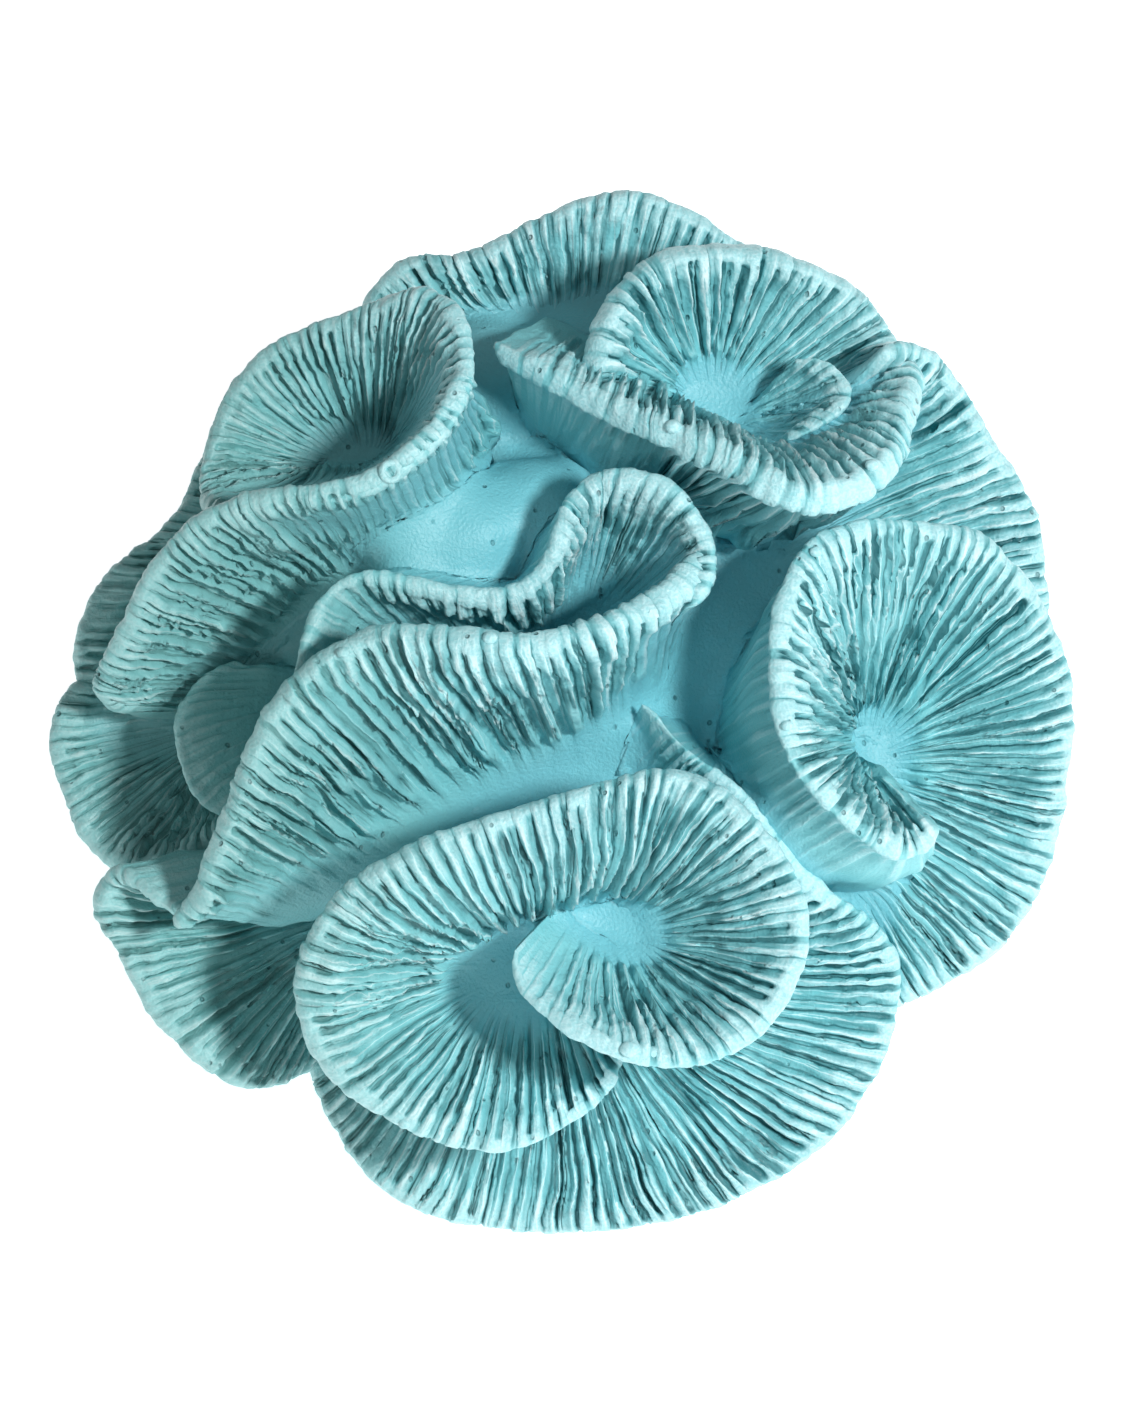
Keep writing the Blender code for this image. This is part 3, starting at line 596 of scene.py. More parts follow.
def ridge_tree():
    tree = bpy.data.node_groups.new("coral_ridges", "GeometryNodeTree")
    sockets = [("Geometry", "Geometry"), *((name, "Float") for name in RIDGE_SIZES)]
    sockets += [(name, "Object") for name in ("Neighbours", "Stump", "Melted whole")]
    sockets += [("Finish", "Material")]
    for name, kind in sockets:
        socket = tree.interface.new_socket(name, in_out="INPUT", socket_type="NodeSocket" + kind)
        if name in RIDGE_SIZES:
            socket.default_value = RIDGE_SIZES[name]
    tree.interface.new_socket("Geometry", in_out="OUTPUT", socket_type="NodeSocketGeometry")
    add = partial(add_node, tree)
    given = tree.nodes.new("NodeGroupInput").outputs
    mark = {key: add("GeometryNodeInputNamedAttribute", key, data_type="FLOAT") for key in MARKS}
    up = mark["up"]
    place = add("GeometryNodeInputPosition")
    normal = add("GeometryNodeInputNormal")
    wavy = {}
    for name, (scale, shift) in WAVES.items():
        inputs = {"Vector": place, "W": add("ADD", given["Seed"], shift), "Scale": scale, "Detail": 2.0}
        wavy[name] = add("SUBTRACT", add("ShaderNodeTexNoise", inputs=inputs, noise_dimensions="4D"), 0.5)

    # How near the neighbours and the stump are, and which points lie outside them
    joined = tree.nodes.new("GeometryNodeJoinGeometry")
    for name in ("Neighbours", "Stump"):
        info = {"inputs": {"Object": given[name]}, "output": "Geometry"}
        tree.links.new(add("GeometryNodeObjectInfo", **info), joined.inputs[0])
    near = joined.outputs[0]
    gap = add("GeometryNodeProximity", near, output="Distance", target_element="FACES")
    spot = add("GeometryNodeProximity", near, output="Position", target_element="FACES")
    inputs = {"Mesh": near, "Value": normal}
    away = add("GeometryNodeSampleNearestSurface", inputs=inputs, data_type="FLOAT_VECTOR")
    side = add("VECTOR_DOT_PRODUCT", add("VECTOR_SUBTRACT", place, spot), away, output="Value")
    outside = add("GREATER_THAN", side, 0.0)

    # Near a neighbour the point moves over to the melted whole, which fills the corners smoothly. A
    # point just inside the neighbour moves too, so that two skins overlap along their seam.
    trough = add("FADE", add("DIVIDE", gap, given["Fillet"]), 0.25, 1.0, 1.0, 0.0)
    trough = add("MULTIPLY", trough, add("FADE", up, 0.72, 0.97, 1.0, 0.0))
    whole = add("GeometryNodeObjectInfo", inputs={"Object": given["Melted whole"]}, output="Geometry")
    melted = add("GeometryNodeProximity", whole, output="Position", target_element="FACES")
    to_melted = add("VECTOR_SUBTRACT", melted, place)
    way = add("VECTOR_LENGTH", to_melted, output="Value")
    overlap = add("FADE", way, add("DIVIDE", given["Overlap"], 3.0), given["Overlap"], 1.0, 0.0)
    share = add("MULTIPLY", trough, add("MAXIMUM", outside, overlap))
    to_melted = add("VECTOR_SCALE", to_melted, inputs={"Scale": share})

    # The count of ridges along the rim, made to wander a little and to stand unevenly
    count = add("DIVIDE", mark["along"], given["Ridge pitch"])
    wander = add("MULTIPLY", wavy["wander"], given["Wobble"])
    fine_wander = add("MULTIPLY", wavy["fine wander"], add("MULTIPLY", given["Wobble"], 0.2))
    count = add("ADD", count, add("MULTIPLY", add("ADD", wander, fine_wander), 2.0))
    inputs = {"W": add("MULTIPLY", count, 0.55)}
    spacing = add("ShaderNodeTexNoise", inputs=inputs, noise_dimensions="1D")
    count = add("ADD", count, add("MULTIPLY", add("SUBTRACT", spacing, 0.5), SPACING_WANDER))
    ridge = add("FLOOR", count)

    # A ridge like a shingle: its crest stands off the middle, and a slit runs on each side of it
    lean = add("FADE", wavy["lean"], -0.1, 0.1, LEAN_LEAST, LEAN_MOST)
    part = add("SUBTRACT", count, ridge)
    rising = add("DIVIDE", part, lean)
    falling = add("DIVIDE", add("SUBTRACT", 1.0, part), add("SUBTRACT", 1.0, lean))
    flank = add("MINIMUM", rising, falling)
    slit = add("ADD", ridge, add("GREATER_THAN", part, lean))
    chance = {}
    slit_draws = {"width": 2.3, "lower end": 0.3, "depth": 0.6, "upper end": 3.1}
    ridge_draws = {"death": 0.9, "top": 1.7}
    for number, draws in ((slit, slit_draws), (ridge, ridge_draws)):
        for name, shift in draws.items():
            inputs = {"W": add("ADD", number, add("ADD", given["Seed"], shift))}
            chance[name] = add("ShaderNodeTexWhiteNoise", inputs=inputs, noise_dimensions="1D")

    # Broad and stepped near the rim, thin and sharp lower down
    slit_wide = add("ADD", add("MULTIPLY", chance["width"], 0.35), 0.2)
    step = add("MULTIPLY", add("FADE", flank, 0.0, slit_wide), 0.6)
    rounded = add("ADD", step, add("MULTIPLY", flank, 0.4))
    sharp = add("POWER", flank, 1.5)
    near_rim = add("FADE", add("ADD", up, add("MULTIPLY", wavy["rim"], 0.6)), 0.7, 1.0)
    wave = add("ADD", sharp, add("MULTIPLY", add("SUBTRACT", rounded, sharp), near_rim))

    # Each slit has its own depth, its own lower end, and its own upper end just under the rim
    lower_end = add("ADD", add("MULTIPLY", chance["lower end"], given["Slit ends"]), 0.02)
    begins = add("FADE", add("SUBTRACT", up, lower_end), 0.0, 0.12)
    depth = add("ADD", add("MULTIPLY", chance["depth"], 0.35), 0.7)
    smeared = add("FADE", wavy["smear"], 0.08, 0.2, 1.0, 0.45)
    upper_end = add("ADD", add("MULTIPLY", chance["upper end"], 0.09), 0.97)
    on_rim = add("FADE", add("SUBTRACT", up, upper_end), -0.03, 0.0, smeared, 0.15)
    depth = add("MULTIPLY", add("MULTIPLY", depth, begins), on_rim)
    cut = add("MULTIPLY", add("SUBTRACT", 1.0, wave), depth)

    # Every second ridge dies out part of the way down, each at its own height
    second = add("FLOORED_MODULO", ridge, 2.0)
    death = add("ADD", add("MULTIPLY", chance["death"], 0.5), 0.35)
    lost = add("MULTIPLY", second, add("FADE", add("SUBTRACT", up, death), -0.1, 0.12, 0.85, 0.0))
    crest = add("MULTIPLY", add("SUBTRACT", 1.0, cut), add("SUBTRACT", 1.0, lost))

    # Ragged tops and beads, and a fade to nothing in troughs, at the root and at the plate's ends
    uneven = add("ADD", 0.75, add("MULTIPLY", chance["top"], 0.5))
    ragged = add("ADD", add("MULTIPLY", wavy["rag"], 0.7), uneven)
    beads = add("MULTIPLY", add("MULTIPLY", wavy["beads"], crest), given["Bead height"])
    more = add("MULTIPLY", add("SUBTRACT", given["Ridge height"], given["Back height"]), mark["front"])
    height = add("ADD", given["Back height"], more)
    height = add("MULTIPLY", height, add("FADE", up, 0.88, 1.0, 1.0, 0.6))
    height = add("MULTIPLY", add("MULTIPLY", crest, ragged), height)
    clear = add("SUBTRACT", 1.0, add("MULTIPLY", trough, 0.5))
    rise = add("MULTIPLY", add("FADE", up, 0.0, given["Root fade"]), clear)
    lift = add("MULTIPLY", add("ADD", height, beads), add("MULTIPLY", rise, mark["ends"]))
    lift = add("MULTIPLY", lift, add("SUBTRACT", 1.0, add("MULTIPLY", share, 0.8)))
    lift = add("SUBTRACT", lift, add("MULTIPLY", given["Sink"], trough))
    inside = add("SUBTRACT", 1.0, outside)
    lift = add("SUBTRACT", lift, add("MULTIPLY", given["Inside sink"], inside))
    shift = add("VECTOR_ADD", add("VECTOR_SCALE", normal, inputs={"Scale": lift}), to_melted)

    # The very foot of a face dips under the floor, so that its edge doesn't show
    dip = add("VECTOR_SCALE", FOOT_DIP, inputs={"Scale": add("FADE", up, -0.1, -0.02, 1.0, 0.0)})
    inputs = {"Geometry": given["Geometry"], "Offset": add("VECTOR_ADD", shift, dip)}
    moved = add("GeometryNodeSetPosition", inputs=inputs)
    relief = add("MULTIPLY", add("MULTIPLY", depth, rise), add("FADE", given["Ridge height"], 0.0, 0.0025))
    relief = add("MULTIPLY", relief, mark["ends"])
    kept = {"count": count, "lean": lean, "relief": relief, "crest": crest, "trough": trough}
    for name, value in kept.items():
        inputs = {"Geometry": moved, "Name": name, "Value": value}
        moved = add("GeometryNodeStoreNamedAttribute", inputs=inputs, data_type="FLOAT")

    # Uneven putty over everything, the same field for every piece so that they still meet
    lumps = []
    for scale, height in PUTTY:
        lump = add("ShaderNodeTexNoise", inputs={"Vector": place, "Scale": scale, "Detail": 1.0})
        lumps.append(add("MULTIPLY", add("SUBTRACT", lump, 0.5), height))
    putty = add("ADD", lumps[0], add("ADD", lumps[1], lumps[2]))
    putty = add("MULTIPLY", putty, add("FADE", up, 0.8, 1.0, 1.0, 1.8))
    shift = add("VECTOR_SCALE", normal, inputs={"Scale": putty})
    moved = add("GeometryNodeSetPosition", inputs={"Geometry": moved, "Offset": shift})
    real = add("GeometryNodeRealizeInstances", moved)
    dressed = add("GeometryNodeSetMaterial", inputs={"Geometry": real, "Material": given["Finish"]})
    add("NodeGroupOutput", dressed)
    return tree


RIDGES = ridge_tree()
print("nodes in the ridge tree:", len(RIDGES.nodes))


# %% Growing ridges on one object
def grow(obj, tree, **sizes):
    """Runs the tree on the object with these inputs, and leaves the result as its plain mesh."""
    modifier = obj.modifiers.new(tree.name, "NODES")
    modifier.node_group = tree
    for item in tree.interface.items_tree:
        if item.item_type == "SOCKET" and item.in_out == "INPUT" and item.name in sizes:
            modifier[item.identifier] = sizes[item.name]
    obj.update_tag()
    graph = bpy.context.evaluated_depsgraph_get()
    grown = bpy.data.meshes.new_from_object(obj.evaluated_get(graph))
    obj.modifiers.remove(modifier)
    old = obj.data
    obj.data = grown
    bpy.data.meshes.remove(old)


# %% [markdown]
# ## The finish: aqua plaster
# Cast plaster, stained through with an aqua colour, then dry and slightly chalky. It scatters light
# softly with a faint satin gloss. Over the stain lies painted light: a pale painted highlight on the
# tops of the ridges and a white one on their crisp edges, and painted shade dark in the slits and pits
# and bluer in the troughs between plates. The left side is drawn greener and darker. The colours are
# sRGB hex values turned to linear by one function. The slits are drawn from the ridge count that the
# tree kept, so they stay crisp between the mesh's columns.

# %% Colours
def linear(code):
    """An sRGB hex colour as linear RGBA."""
    channels = [int(code[i : i + 2], 16) / 255 for i in (1, 3, 5)]
    return [c / 12.92 if c <= 0.04045 else ((c + 0.055) / 1.055) ** 2.4 for c in channels] + [1.0]


CREST_HIGHLIGHT_PALE = "#C6ECF0"
EDGE_HIGHLIGHT_WHITE = "#DDF6F8"
BODY_AQUA = "#8AD2D8"
BODY_TEAL = "#78C6CD"
SLIT_SHADE_TEAL = "#0C575E"
TROUGH_SHADE_BLUE = "#70BECF"
LEFT_SIDE_GREEN = "#78ADA9"


# %% Aqua plaster material
PLASTER_ROUGHNESS = 0.4
PLASTER_IOR = 1.5
PLASTER_SPECULAR = 0.4
GRAIN = 1500.0
STAIN = 30.0
PIT_CELLS = 270.0
PIT_STRETCH = (1.0, 1.0, 0.45)
RELIEF_DEPTH = 0.0009


def aqua_plaster():
    material = bpy.data.materials.new("aqua_plaster")
    material.use_nodes = True
    tree = material.node_tree
    tree.nodes.clear()
    add = partial(add_node, tree)
    mark = {}
    for key in ("count", "lean", "relief", "crest", "trough", "up", "front"):
        mark[key] = add("ShaderNodeAttribute", output="Fac", attribute_name=key)
    place = add("ShaderNodeTexCoord", output="Object")
    noise = {}
    for name, scale, detail in (("grain", GRAIN, 3.0), ("stain", STAIN, 2.0), ("pits", 120.0, 1.0)):
        inputs = {"Vector": place, "Scale": scale, "Detail": detail}
        noise[name] = add("ShaderNodeTexNoise", inputs=inputs)

    # Painted shade in the slits between ridges and down each valley, and a painted highlight on the crisp
    # edge of each ridge
    part = add("FRACT", mark["count"])
    rising = add("DIVIDE", part, mark["lean"])
    falling = add("DIVIDE", add("SUBTRACT", 1.0, part), add("SUBTRACT", 1.0, mark["lean"]))
    flank = add("MINIMUM", rising, falling)
    shown = add("MULTIPLY", mark["relief"], add("FADE", mark["front"], 0.3, 0.8, 0.1, 1.0))
    # deep and wide are where painted shade darkens a slit and the valley beside it; deep also sinks the
    # bump
    deep = add("MULTIPLY", add("FADE", flank, 0.03, 0.3, 1.0, 0.0), 0.6)
    wide = add("MULTIPLY", add("FADE", flank, 0.1, 0.95, 1.0, 0.0), 0.4)
    slit = add("MULTIPLY", add("ADD", deep, wide), shown)
    edge = add("MULTIPLY", add("FADE", flank, 0.86, 0.97), shown)

    # Chalky grain, and a few bubble pits that run up the walls
    grain = add("FADE", noise["grain"], 0.3, 0.7)
    long = add("ShaderNodeMapping", inputs={"Vector": place, "Scale": PIT_STRETCH})
    inputs = {"Vector": long, "Scale": PIT_CELLS}
    pits = add("ShaderNodeTexVoronoi", inputs=inputs, output="Distance")
    pits = add("FADE", pits, 0.07, 0.15, 1.0, 0.0)
    pits = add("MULTIPLY", pits, add("FADE", noise["pits"], 0.5, 0.6))

    # Colours laid over each other: stain, a painted highlight on pale tops and on crisp edges, painted
    # shade bluer in the troughs and dark in the slits and pits, and a greener, darker left side
    top = add("MULTIPLY", add("FADE", mark["crest"], 0.5, 1.0), add("FADE", grain, 0.0, 1.0, 0.4, 0.8))
    left = add("ShaderNodeSeparateXYZ", place)
    stains_and_painted_light = (
        (add("FADE", noise["stain"], 0.3, 0.7), BODY_TEAL),
        # A painted highlight: paler on the ridge crests and higher up each plate, mottled by the grain
        (add("MULTIPLY", top, add("FADE", mark["up"], 0.2, 0.9)), CREST_HIGHLIGHT_PALE),
        # A painted highlight on the crisp edge of each ridge
        (add("MULTIPLY", edge, 0.8), EDGE_HIGHLIGHT_WHITE),
        # Painted shade, darker and bluer, in the troughs where plates meet
        (add("MULTIPLY", mark["trough"], 0.5), TROUGH_SHADE_BLUE),
        # Painted shade in the slits
        (add("MULTIPLY", slit, 0.95), SLIT_SHADE_TEAL),
        # Greener and darker towards the left
        (add("FADE", left, 0.0, -0.07, 0.0, 0.6), LEFT_SIDE_GREEN),
        # Painted shade in the bubble pits
        (add("MULTIPLY", pits, 0.5), SLIT_SHADE_TEAL),
    )
    colour = linear(BODY_AQUA)
    for share, stain in stains_and_painted_light:
        inputs = {0: share, 6: colour, 7: linear(stain)}
        colour = add("ShaderNodeMix", inputs=inputs, output=2, data_type="RGBA")

    # Grain, pits and the crisp slits as relief finer than the mesh
    relief = add("SUBTRACT", add("MULTIPLY", grain, 0.12), add("MULTIPLY", pits, 0.9))
    relief = add("SUBTRACT", relief, add("MULTIPLY", add("MULTIPLY", deep, shown), 0.5))
    inputs = {"Strength": 0.8, "Distance": RELIEF_DEPTH, "Height": relief}
    bump = add("ShaderNodeBump", inputs=inputs)
    inputs = {"Base Color": colour, "Normal": bump, "Roughness": PLASTER_ROUGHNESS}
    inputs |= {"IOR": PLASTER_IOR, "Specular IOR Level": PLASTER_SPECULAR}
    shader = add("ShaderNodeBsdfPrincipled", inputs=inputs)
    add("ShaderNodeOutputMaterial", shader)
    return material


PLASTER = aqua_plaster()
print("nodes in the plaster:", len(PLASTER.node_tree.nodes))

# %% [markdown]
# ## The stump and the smooth floors
# The ridges of a plate run together in a smooth putty-like floor. The stump is an egg shape drawn in
# towards its flat cut, and a ball under each floor is melted into it with a voxel remesh.

# %% Stump
STUMP_RADII = (76, 80, 50)
STUMP_CENTRE = (0, 0, -56)
STUMP_DRAW_IN = 0.22
STUMP_WAIST = -35.0
BACK_SHARE = 0.68
BACK_DRAW_IN = 0.2
STUMP_VOXEL = 1.6


def stump():
    mesh = bmesh.new()
    egg = bmesh.ops.create_icosphere(mesh, subdivisions=6, radius=1.0)["verts"]
    for vert in egg:
        x, y, z = stand(np.array(vert.co) * STUMP_RADII + STUMP_CENTRE)
        draw_in = 1 - STUMP_DRAW_IN * smooth_step(STUMP_WAIST, CUT_LEVEL, z)
        depth = (y - CUT_CENTRE_Y) * draw_in
        if depth > 0:
            depth *= BACK_SHARE - BACK_DRAW_IN * smooth_step(0, STUMP_WAIST, z)
        vert.co = Vector((x * draw_in, CUT_CENTRE_Y + depth, z)) * MM
    for x, y, top, radius in FLOORS:
        place = Matrix.Translation(Vector(stand((x, y, top - radius))) * MM)
        bmesh.ops.create_icosphere(mesh, subdivisions=4, radius=radius * MM, matrix=place)
    data = bpy.data.meshes.new("stump")
    mesh.to_mesh(data)
    mesh.free()
    obj = bpy.data.objects.new("stump", data)
    bpy.context.scene.collection.objects.link(obj)
    return obj


# %% Melting the stump and cutting it flat
def keep_evaluated(obj):
    graph = bpy.context.evaluated_depsgraph_get()
    result = bpy.data.meshes.new_from_object(obj.evaluated_get(graph))
    obj.modifiers.clear()
    obj.data = result


def melt_and_cut(obj):
    melt = obj.modifiers.new("melt", "REMESH")
    melt.mode = "VOXEL"
    melt.voxel_size = STUMP_VOXEL * MM
    soften = obj.modifiers.new("soften", "SMOOTH")
    soften.factor = 0.5
    soften.iterations = 12
    keep_evaluated(obj)
    mesh = bmesh.new()
    mesh.from_mesh(obj.data)
    cut = bmesh.ops.bisect_plane(
        mesh,
        geom=mesh.verts[:] + mesh.edges[:] + mesh.faces[:],
        plane_co=(0, 0, CUT_LEVEL * MM),
        plane_no=(0, 0, 1),
        clear_inner=True,
    )
    edges = [e for e in cut["geom_cut"] if isinstance(e, bmesh.types.BMEdge)]
    bmesh.ops.contextual_create(mesh, geom=edges)
    bmesh.ops.translate(mesh, verts=mesh.verts[:], vec=(0, -CUT_CENTRE_Y * MM, -CUT_LEVEL * MM))
    bmesh.ops.recalc_face_normals(mesh, faces=mesh.faces[:])
    mesh.to_mesh(obj.data)
    mesh.free()
    obj.data.shade_smooth()
    obj.data.materials.clear()
    obj.data.materials.append(PLASTER)


pieces = {"base": stump()}
melt_and_cut(pieces["base"])
print("stump faces:", len(pieces["base"].data.polygons))

# %% [markdown]
# ## The plates
# Each plate of the coral is one piece that stands for one solid of the frame. A piece may hold two
# sheets, such as a cup and its tongue. Where a plate's outer side flares out to its neighbours, its
# root is made thick, so that the valley beside it fills as it does in the cast.

# %% The sheets of every plate
FAR_STEP = 0.7
PLATES = {
    "front_curl": [Sheet(FRONT_CURL, plain_end=40, below_root=0.1)],
    "right_shell": [Sheet(RIGHT_SHELL, root_thick=28)],
    "centre_ruffle": [
        Sheet(CENTRE_WALL, ridged_back=(0.75, 1), edge_thick=3),
        Sheet(CENTRE_HOLLOW, plain_start=55),
    ],
    "crown_cup": [
        Sheet(CROWN_CUP, ridged_back=(0.5, 0.8), edge_thick=4, root_thick=22, plain_end=28),
        Sheet(CROWN_TONGUE, edge_thick=0.8, thin_start=60, ridge_share=0.55),
    ],
    "upper_left_cup": [Sheet(UPPER_LEFT_CUP), Sheet(UPPER_LEFT_CREST, root_thick=16)],
    "front_skirt": [Sheet(FRONT_SKIRT, plain_start=35, edge_thick=1.2, root_thick=22)],
    "lower_left_shell": [Sheet(LOWER_LEFT_SHELL)],
    "left_lobe": [Sheet(LEFT_LOBE)],
    "left_shell": [Sheet(LEFT_SHELL)],
    "right_plate": [Sheet(RIGHT_PLATE)],
    "left_back_skirt": [Sheet(LEFT_BACK_SKIRT)],
    "back_ruffle": [Sheet(BACK_RUFFLE)],
    "back_skirt": [Sheet(BACK_SKIRT, upright=True, step=FAR_STEP)],
}
print("sheets:", sum(len(sheets) for sheets in PLATES.values()))

# %% Coarse copies of the other sheets, and joining a piece
COARSE_STEP = 2.5


def without(left_out):
    """A coarse mesh of every sheet but one, which that one's fillets are measured to."""
    others = []
    for name, sheets in PLATES.items():
        for number, sheet in enumerate(sheets):
            if (name, number) != left_out:
                others.append(sheet._replace(step=COARSE_STEP))
    return plates_mesh("neighbours", others)


def join_meshes(name, parts):
    mesh = bmesh.new()
    for part in parts:
        mesh.from_mesh(part.data)
    data = bpy.data.meshes.new(name)
    mesh.to_mesh(data)
    mesh.free()
    data.materials.append(PLASTER)
    for part in parts:
        bpy.data.objects.remove(part)
    obj = bpy.data.objects.new(name, data)
    bpy.context.scene.collection.objects.link(obj)
    return obj


# %% [markdown]
# ## Drips
# Where putty was brushed on, a few small rings and beads hang on the rims. Each one is a torus or a
# ball, set halfway into the nearest point of the grown skin, so that none hangs in the air.

# %% Drips of putty on the rims
RINGS = {"upper_left_cup": [(-33.5, 45.5, 31, 1.7, 0.75)]}
BEADS = {
    "front_curl": [(14, -68.5, 35.5, 2.0), (16.5, -69.5, 34.5, 1.4), (-31, -84, 10, 1.2)],
    "upper_left_cup": [(-38, 44, 30.5, 1.3), (-30, 48, 30.5, 1.2)],
    "crown_cup": [(22, 54.5, 25, 1.7), (61, 47, 30.5, 1.4)],
    "right_shell": [(44.5, -5, 29.8, 1.3), (50, 29.5, 23.5, 1.3)],
    "centre_ruffle": [(-14, 12, 37, 1.5), (-43, 9.5, 34.8, 1.3)],
}
FLATTENED = (1.0, 0.85, 0.8)
RING_TILT = (0.6, 0.3, 0)


def on_skin(skin, spot):
    """The vertex of the grown skin that is nearest to a spot of the tilted view."""
    place = (stand(spot) - (0, CUT_CENTRE_Y, CUT_LEVEL)) * MM
    return skin[np.argmin(np.linalg.norm(skin - place, axis=1))]


def drips(name, grown):
    """Small rings and beads that hung from a brush, each one sunk halfway into its rim."""
    if name not in RINGS and name not in BEADS:
        return []
    skin = np.vstack([[v.co[:] for v in part.data.vertices] for part in grown])
    parts = []
    for x, y, z, radius, wire in RINGS.get(name, []):
        sizes = {"major_radius": radius * MM, "minor_radius": wire * MM}
        place = on_skin(skin, (x, y, z))
        bpy.ops.mesh.primitive_torus_add(location=place, rotation=RING_TILT, **sizes)
        parts.append(bpy.context.object)
    for x, y, z, radius in BEADS.get(name, []):
        place = on_skin(skin, (x, y, z))
        sizes = {"radius": radius * MM, "scale": FLATTENED}
        bpy.ops.mesh.primitive_ico_sphere_add(subdivisions=3, location=place, **sizes)
        parts.append(bpy.context.object)
    for part in parts:
        bpy.context.view_layer.update()
        part.data.transform(part.matrix_world)
        part.data.shade_smooth()
        part.data.materials.append(PLASTER)
        # Crest, up and front are set to one, so each drip takes the full painted top highlight
        for key in ("crest", "up", "front"):
            layer = part.data.attributes.new(key, "FLOAT", "POINT")
            layer.data.foreach_set("value", np.ones(len(part.data.vertices), np.float32))
    return parts


# %% [markdown]
# ## Filled corners
# In a cast the corners between plates are filled with putty. A rough copy of the whole coral is
# melted into one skin and smoothed, which fills them. It isn't shown: the sheets and the stump only
# move over to it where they come near each other.

# %% The melted whole
MELT_VOXEL = 1.5
MELT_ROUNDS = 60


def melted_whole():
    """Every sheet and the stump melted together and smoothed, so that its inner corners are filled."""
    whole = without(None)
    mesh = bmesh.new()
    mesh.from_mesh(whole.data)
    mesh.from_mesh(pieces["base"].data)
    mesh.to_mesh(whole.data)
    mesh.free()
    melt = whole.modifiers.new("melt", "REMESH")
    melt.mode = "VOXEL"
    melt.voxel_size = MELT_VOXEL * MM
    soften = whole.modifiers.new("soften", "SMOOTH")
    soften.factor = 0.5
    soften.iterations = MELT_ROUNDS
    keep_evaluated(whole)
    return whole


whole = melted_whole()
print("melted whole faces:", len(whole.data.polygons))

# %% Growing every sheet
LAYER_SINK = 0.000004
OWN_SIZES = {
    "front_curl": {"Fillet": 0.009, "Root fade": 0.2, "Ridge pitch": 0.0033},
    "right_shell": {"Fillet": 0.006, "Root fade": 0.1},
    "centre_ruffle": {"Fillet": 0.013, "Root fade": 0.3, "Slit ends": 0.45, "Ridge pitch": 0.0033},
    "crown_cup": {"Fillet": 0.005, "Root fade": 0.1, "Ridge pitch": 0.0035},
    "upper_left_cup": {"Fillet": 0.006, "Ridge pitch": 0.0024, "Ridge height": 0.0028},
    "front_skirt": {"Ridge pitch": 0.0033},
    "left_lobe": {"Ridge height": 0.0006, "Root fade": 0.7},
    "left_shell": {"Ridge pitch": 0.0026, "Ridge height": 0.0028},
    "left_back_skirt": {"Ridge pitch": 0.0026, "Ridge height": 0.0028},
    "back_ruffle": {"Fillet": 0.004, "Root fade": 0.05, "Slit ends": 0.1},
}
seed = 0.0
for name, sheets in PLATES.items():
    parts = []
    for number, sheet in enumerate(sheets):
        part = plates_mesh(name, [sheet])
        neighbours = without((name, number))
        given = {"Neighbours": neighbours, "Stump": pieces["base"], "Melted whole": whole}
        given |= {"Seed": seed, "Sink": seed * LAYER_SINK, "Finish": PLASTER}
        grow(part, RIDGES, **{**given, **OWN_SIZES.get(name, {})})
        bpy.data.objects.remove(neighbours)
        parts.append(part)
        seed += 1.0
    pieces[name] = join_meshes("ridged_" + name, parts + drips(name, parts))
    print(name, "faces:", len(pieces[name].data.polygons))

# %% Growing the stump's own fillets
STUMP_FILLET = 0.06
STUMP_OVERLAP = 0.02
CUT_CORNER = 0.004
neighbours = without(None)
given = {"Neighbours": neighbours, "Melted whole": whole, "Finish": PLASTER}
plain = np.array([v.co[:] for v in pieces["base"].data.vertices])
given |= {"Seed": seed, "Sink": seed * LAYER_SINK, "Fillet": STUMP_FILLET, "Overlap": STUMP_OVERLAP}
grow(pieces["base"], RIDGES, **given)
moved = np.array([v.co[:] for v in pieces["base"].data.vertices])
share = smooth_step(0, CUT_CORNER, plain[:, 2:])
moved = plain + (moved - plain) * share
moved[:, 2] = np.maximum(moved[:, 2], 0)
pieces["base"].data.vertices.foreach_set("co", moved.astype(np.float32).ravel())
pieces["base"].data.update()
bpy.data.objects.remove(neighbours)
bpy.data.objects.remove(whole)
print("stump faces:", len(pieces["base"].data.polygons))
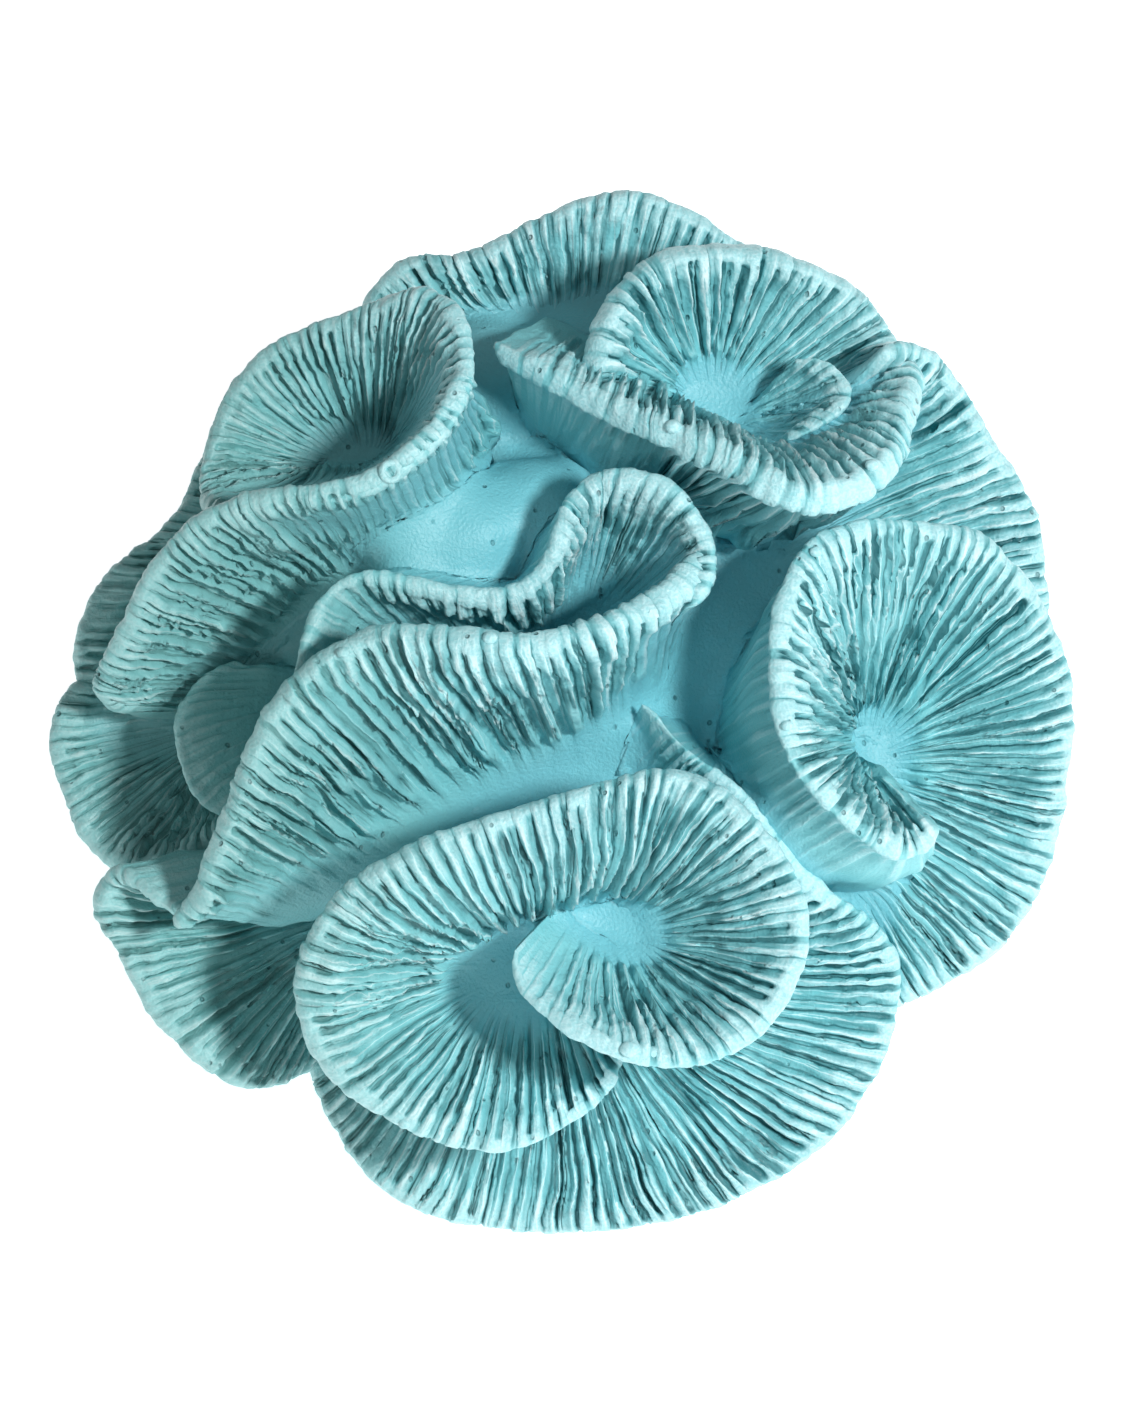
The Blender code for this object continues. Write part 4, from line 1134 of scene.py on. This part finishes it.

# %% [markdown]
# ## Floor, light and camera
# A plain pale floor, a white sky and one soft light from the front right, so that the slits darken in
# their own shade as well as by the shade painted into them, with a weak one in front to open the
# hollows. The camera looks down at 55 degrees from far off with a long lens.

# %% Floor
FLOOR_REACH = 4.0
FLOOR_WHITE = "#FAFBFB"
FLOOR_GLOW = 0.8
floor_mesh = bmesh.new()
bmesh.ops.create_grid(floor_mesh, x_segments=1, y_segments=1, size=FLOOR_REACH)
floor_data = bpy.data.meshes.new("pale_floor")
floor_mesh.to_mesh(floor_data)
floor_mesh.free()
floor = bpy.data.objects.new("pale_floor", floor_data)
bpy.context.scene.collection.objects.link(floor)
white = bpy.data.materials.new("white_paper")
white.use_nodes = True
paper = white.node_tree.nodes["Principled BSDF"]
paper.inputs["Base Color"].default_value = linear(FLOOR_WHITE)
paper.inputs["Roughness"].default_value = 1.0
paper.inputs["Specular IOR Level"].default_value = 0.0
paper.inputs["Emission Color"].default_value = (1, 1, 1, 1)
paper.inputs["Emission Strength"].default_value = FLOOR_GLOW
floor_data.materials.append(white)

# %% Lights
SKY_STRENGTH = 0.23
LIT_HEIGHT = 0.08
# Place in metres, power in watts and size in metres
KEY_SOFTBOX = ((0.66, -0.62, 1.15), 18.0, 0.18)
FILL_SOFTBOX = ((-0.5, -1.2, 0.8), 2.2, 0.5)
world = bpy.data.worlds.new("white_sky")
world.use_nodes = True
world.node_tree.nodes["Background"].inputs["Color"].default_value = (1, 1, 1, 1)
world.node_tree.nodes["Background"].inputs["Strength"].default_value = SKY_STRENGTH
bpy.context.scene.world = world


def soft_light(name, place, watts, size):
    data = bpy.data.lights.new(name, "AREA")
    data.energy = watts
    data.size = size
    light = bpy.data.objects.new(name, data)
    light.location = place
    aim = Vector((0, 0, LIT_HEIGHT)) - Vector(place)
    light.rotation_euler = aim.to_track_quat("-Z", "Y").to_euler()
    bpy.context.scene.collection.objects.link(light)


soft_light("key_softbox", *KEY_SOFTBOX)
soft_light("fill_softbox", *FILL_SOFTBOX)
bpy.context.scene.view_settings.view_transform = "Standard"

# %% Camera
CAMERA_DISTANCE = 2.0
VIEW_HEIGHT = 0.2804
SENSOR = 36
camera_data = bpy.data.cameras.new("view_camera")
camera_data.sensor_width = SENSOR
camera_data.lens = SENSOR * CAMERA_DISTANCE / VIEW_HEIGHT
camera = bpy.data.objects.new("view_camera", camera_data)
look = math.radians(LOOK_DOWN_DEG)
aim = Vector((0, -CUT_CENTRE_Y * MM, -CUT_LEVEL * MM))
away = Vector((0, -math.cos(look), math.sin(look)))
camera.location = aim + away * CAMERA_DISTANCE
camera.rotation_euler = (-away).to_track_quat("-Z", "Y").to_euler()
bpy.context.scene.collection.objects.link(camera)
bpy.context.scene.camera = camera

# %% [markdown]
# ## Tying the pieces to the frame
# Each piece rides on the one body, and stands for the solid that it was lofted over.

# %% Tying
for node, piece in pieces.items():
    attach(piece, "root")
    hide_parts(node)
print("pieces:", len(pieces))
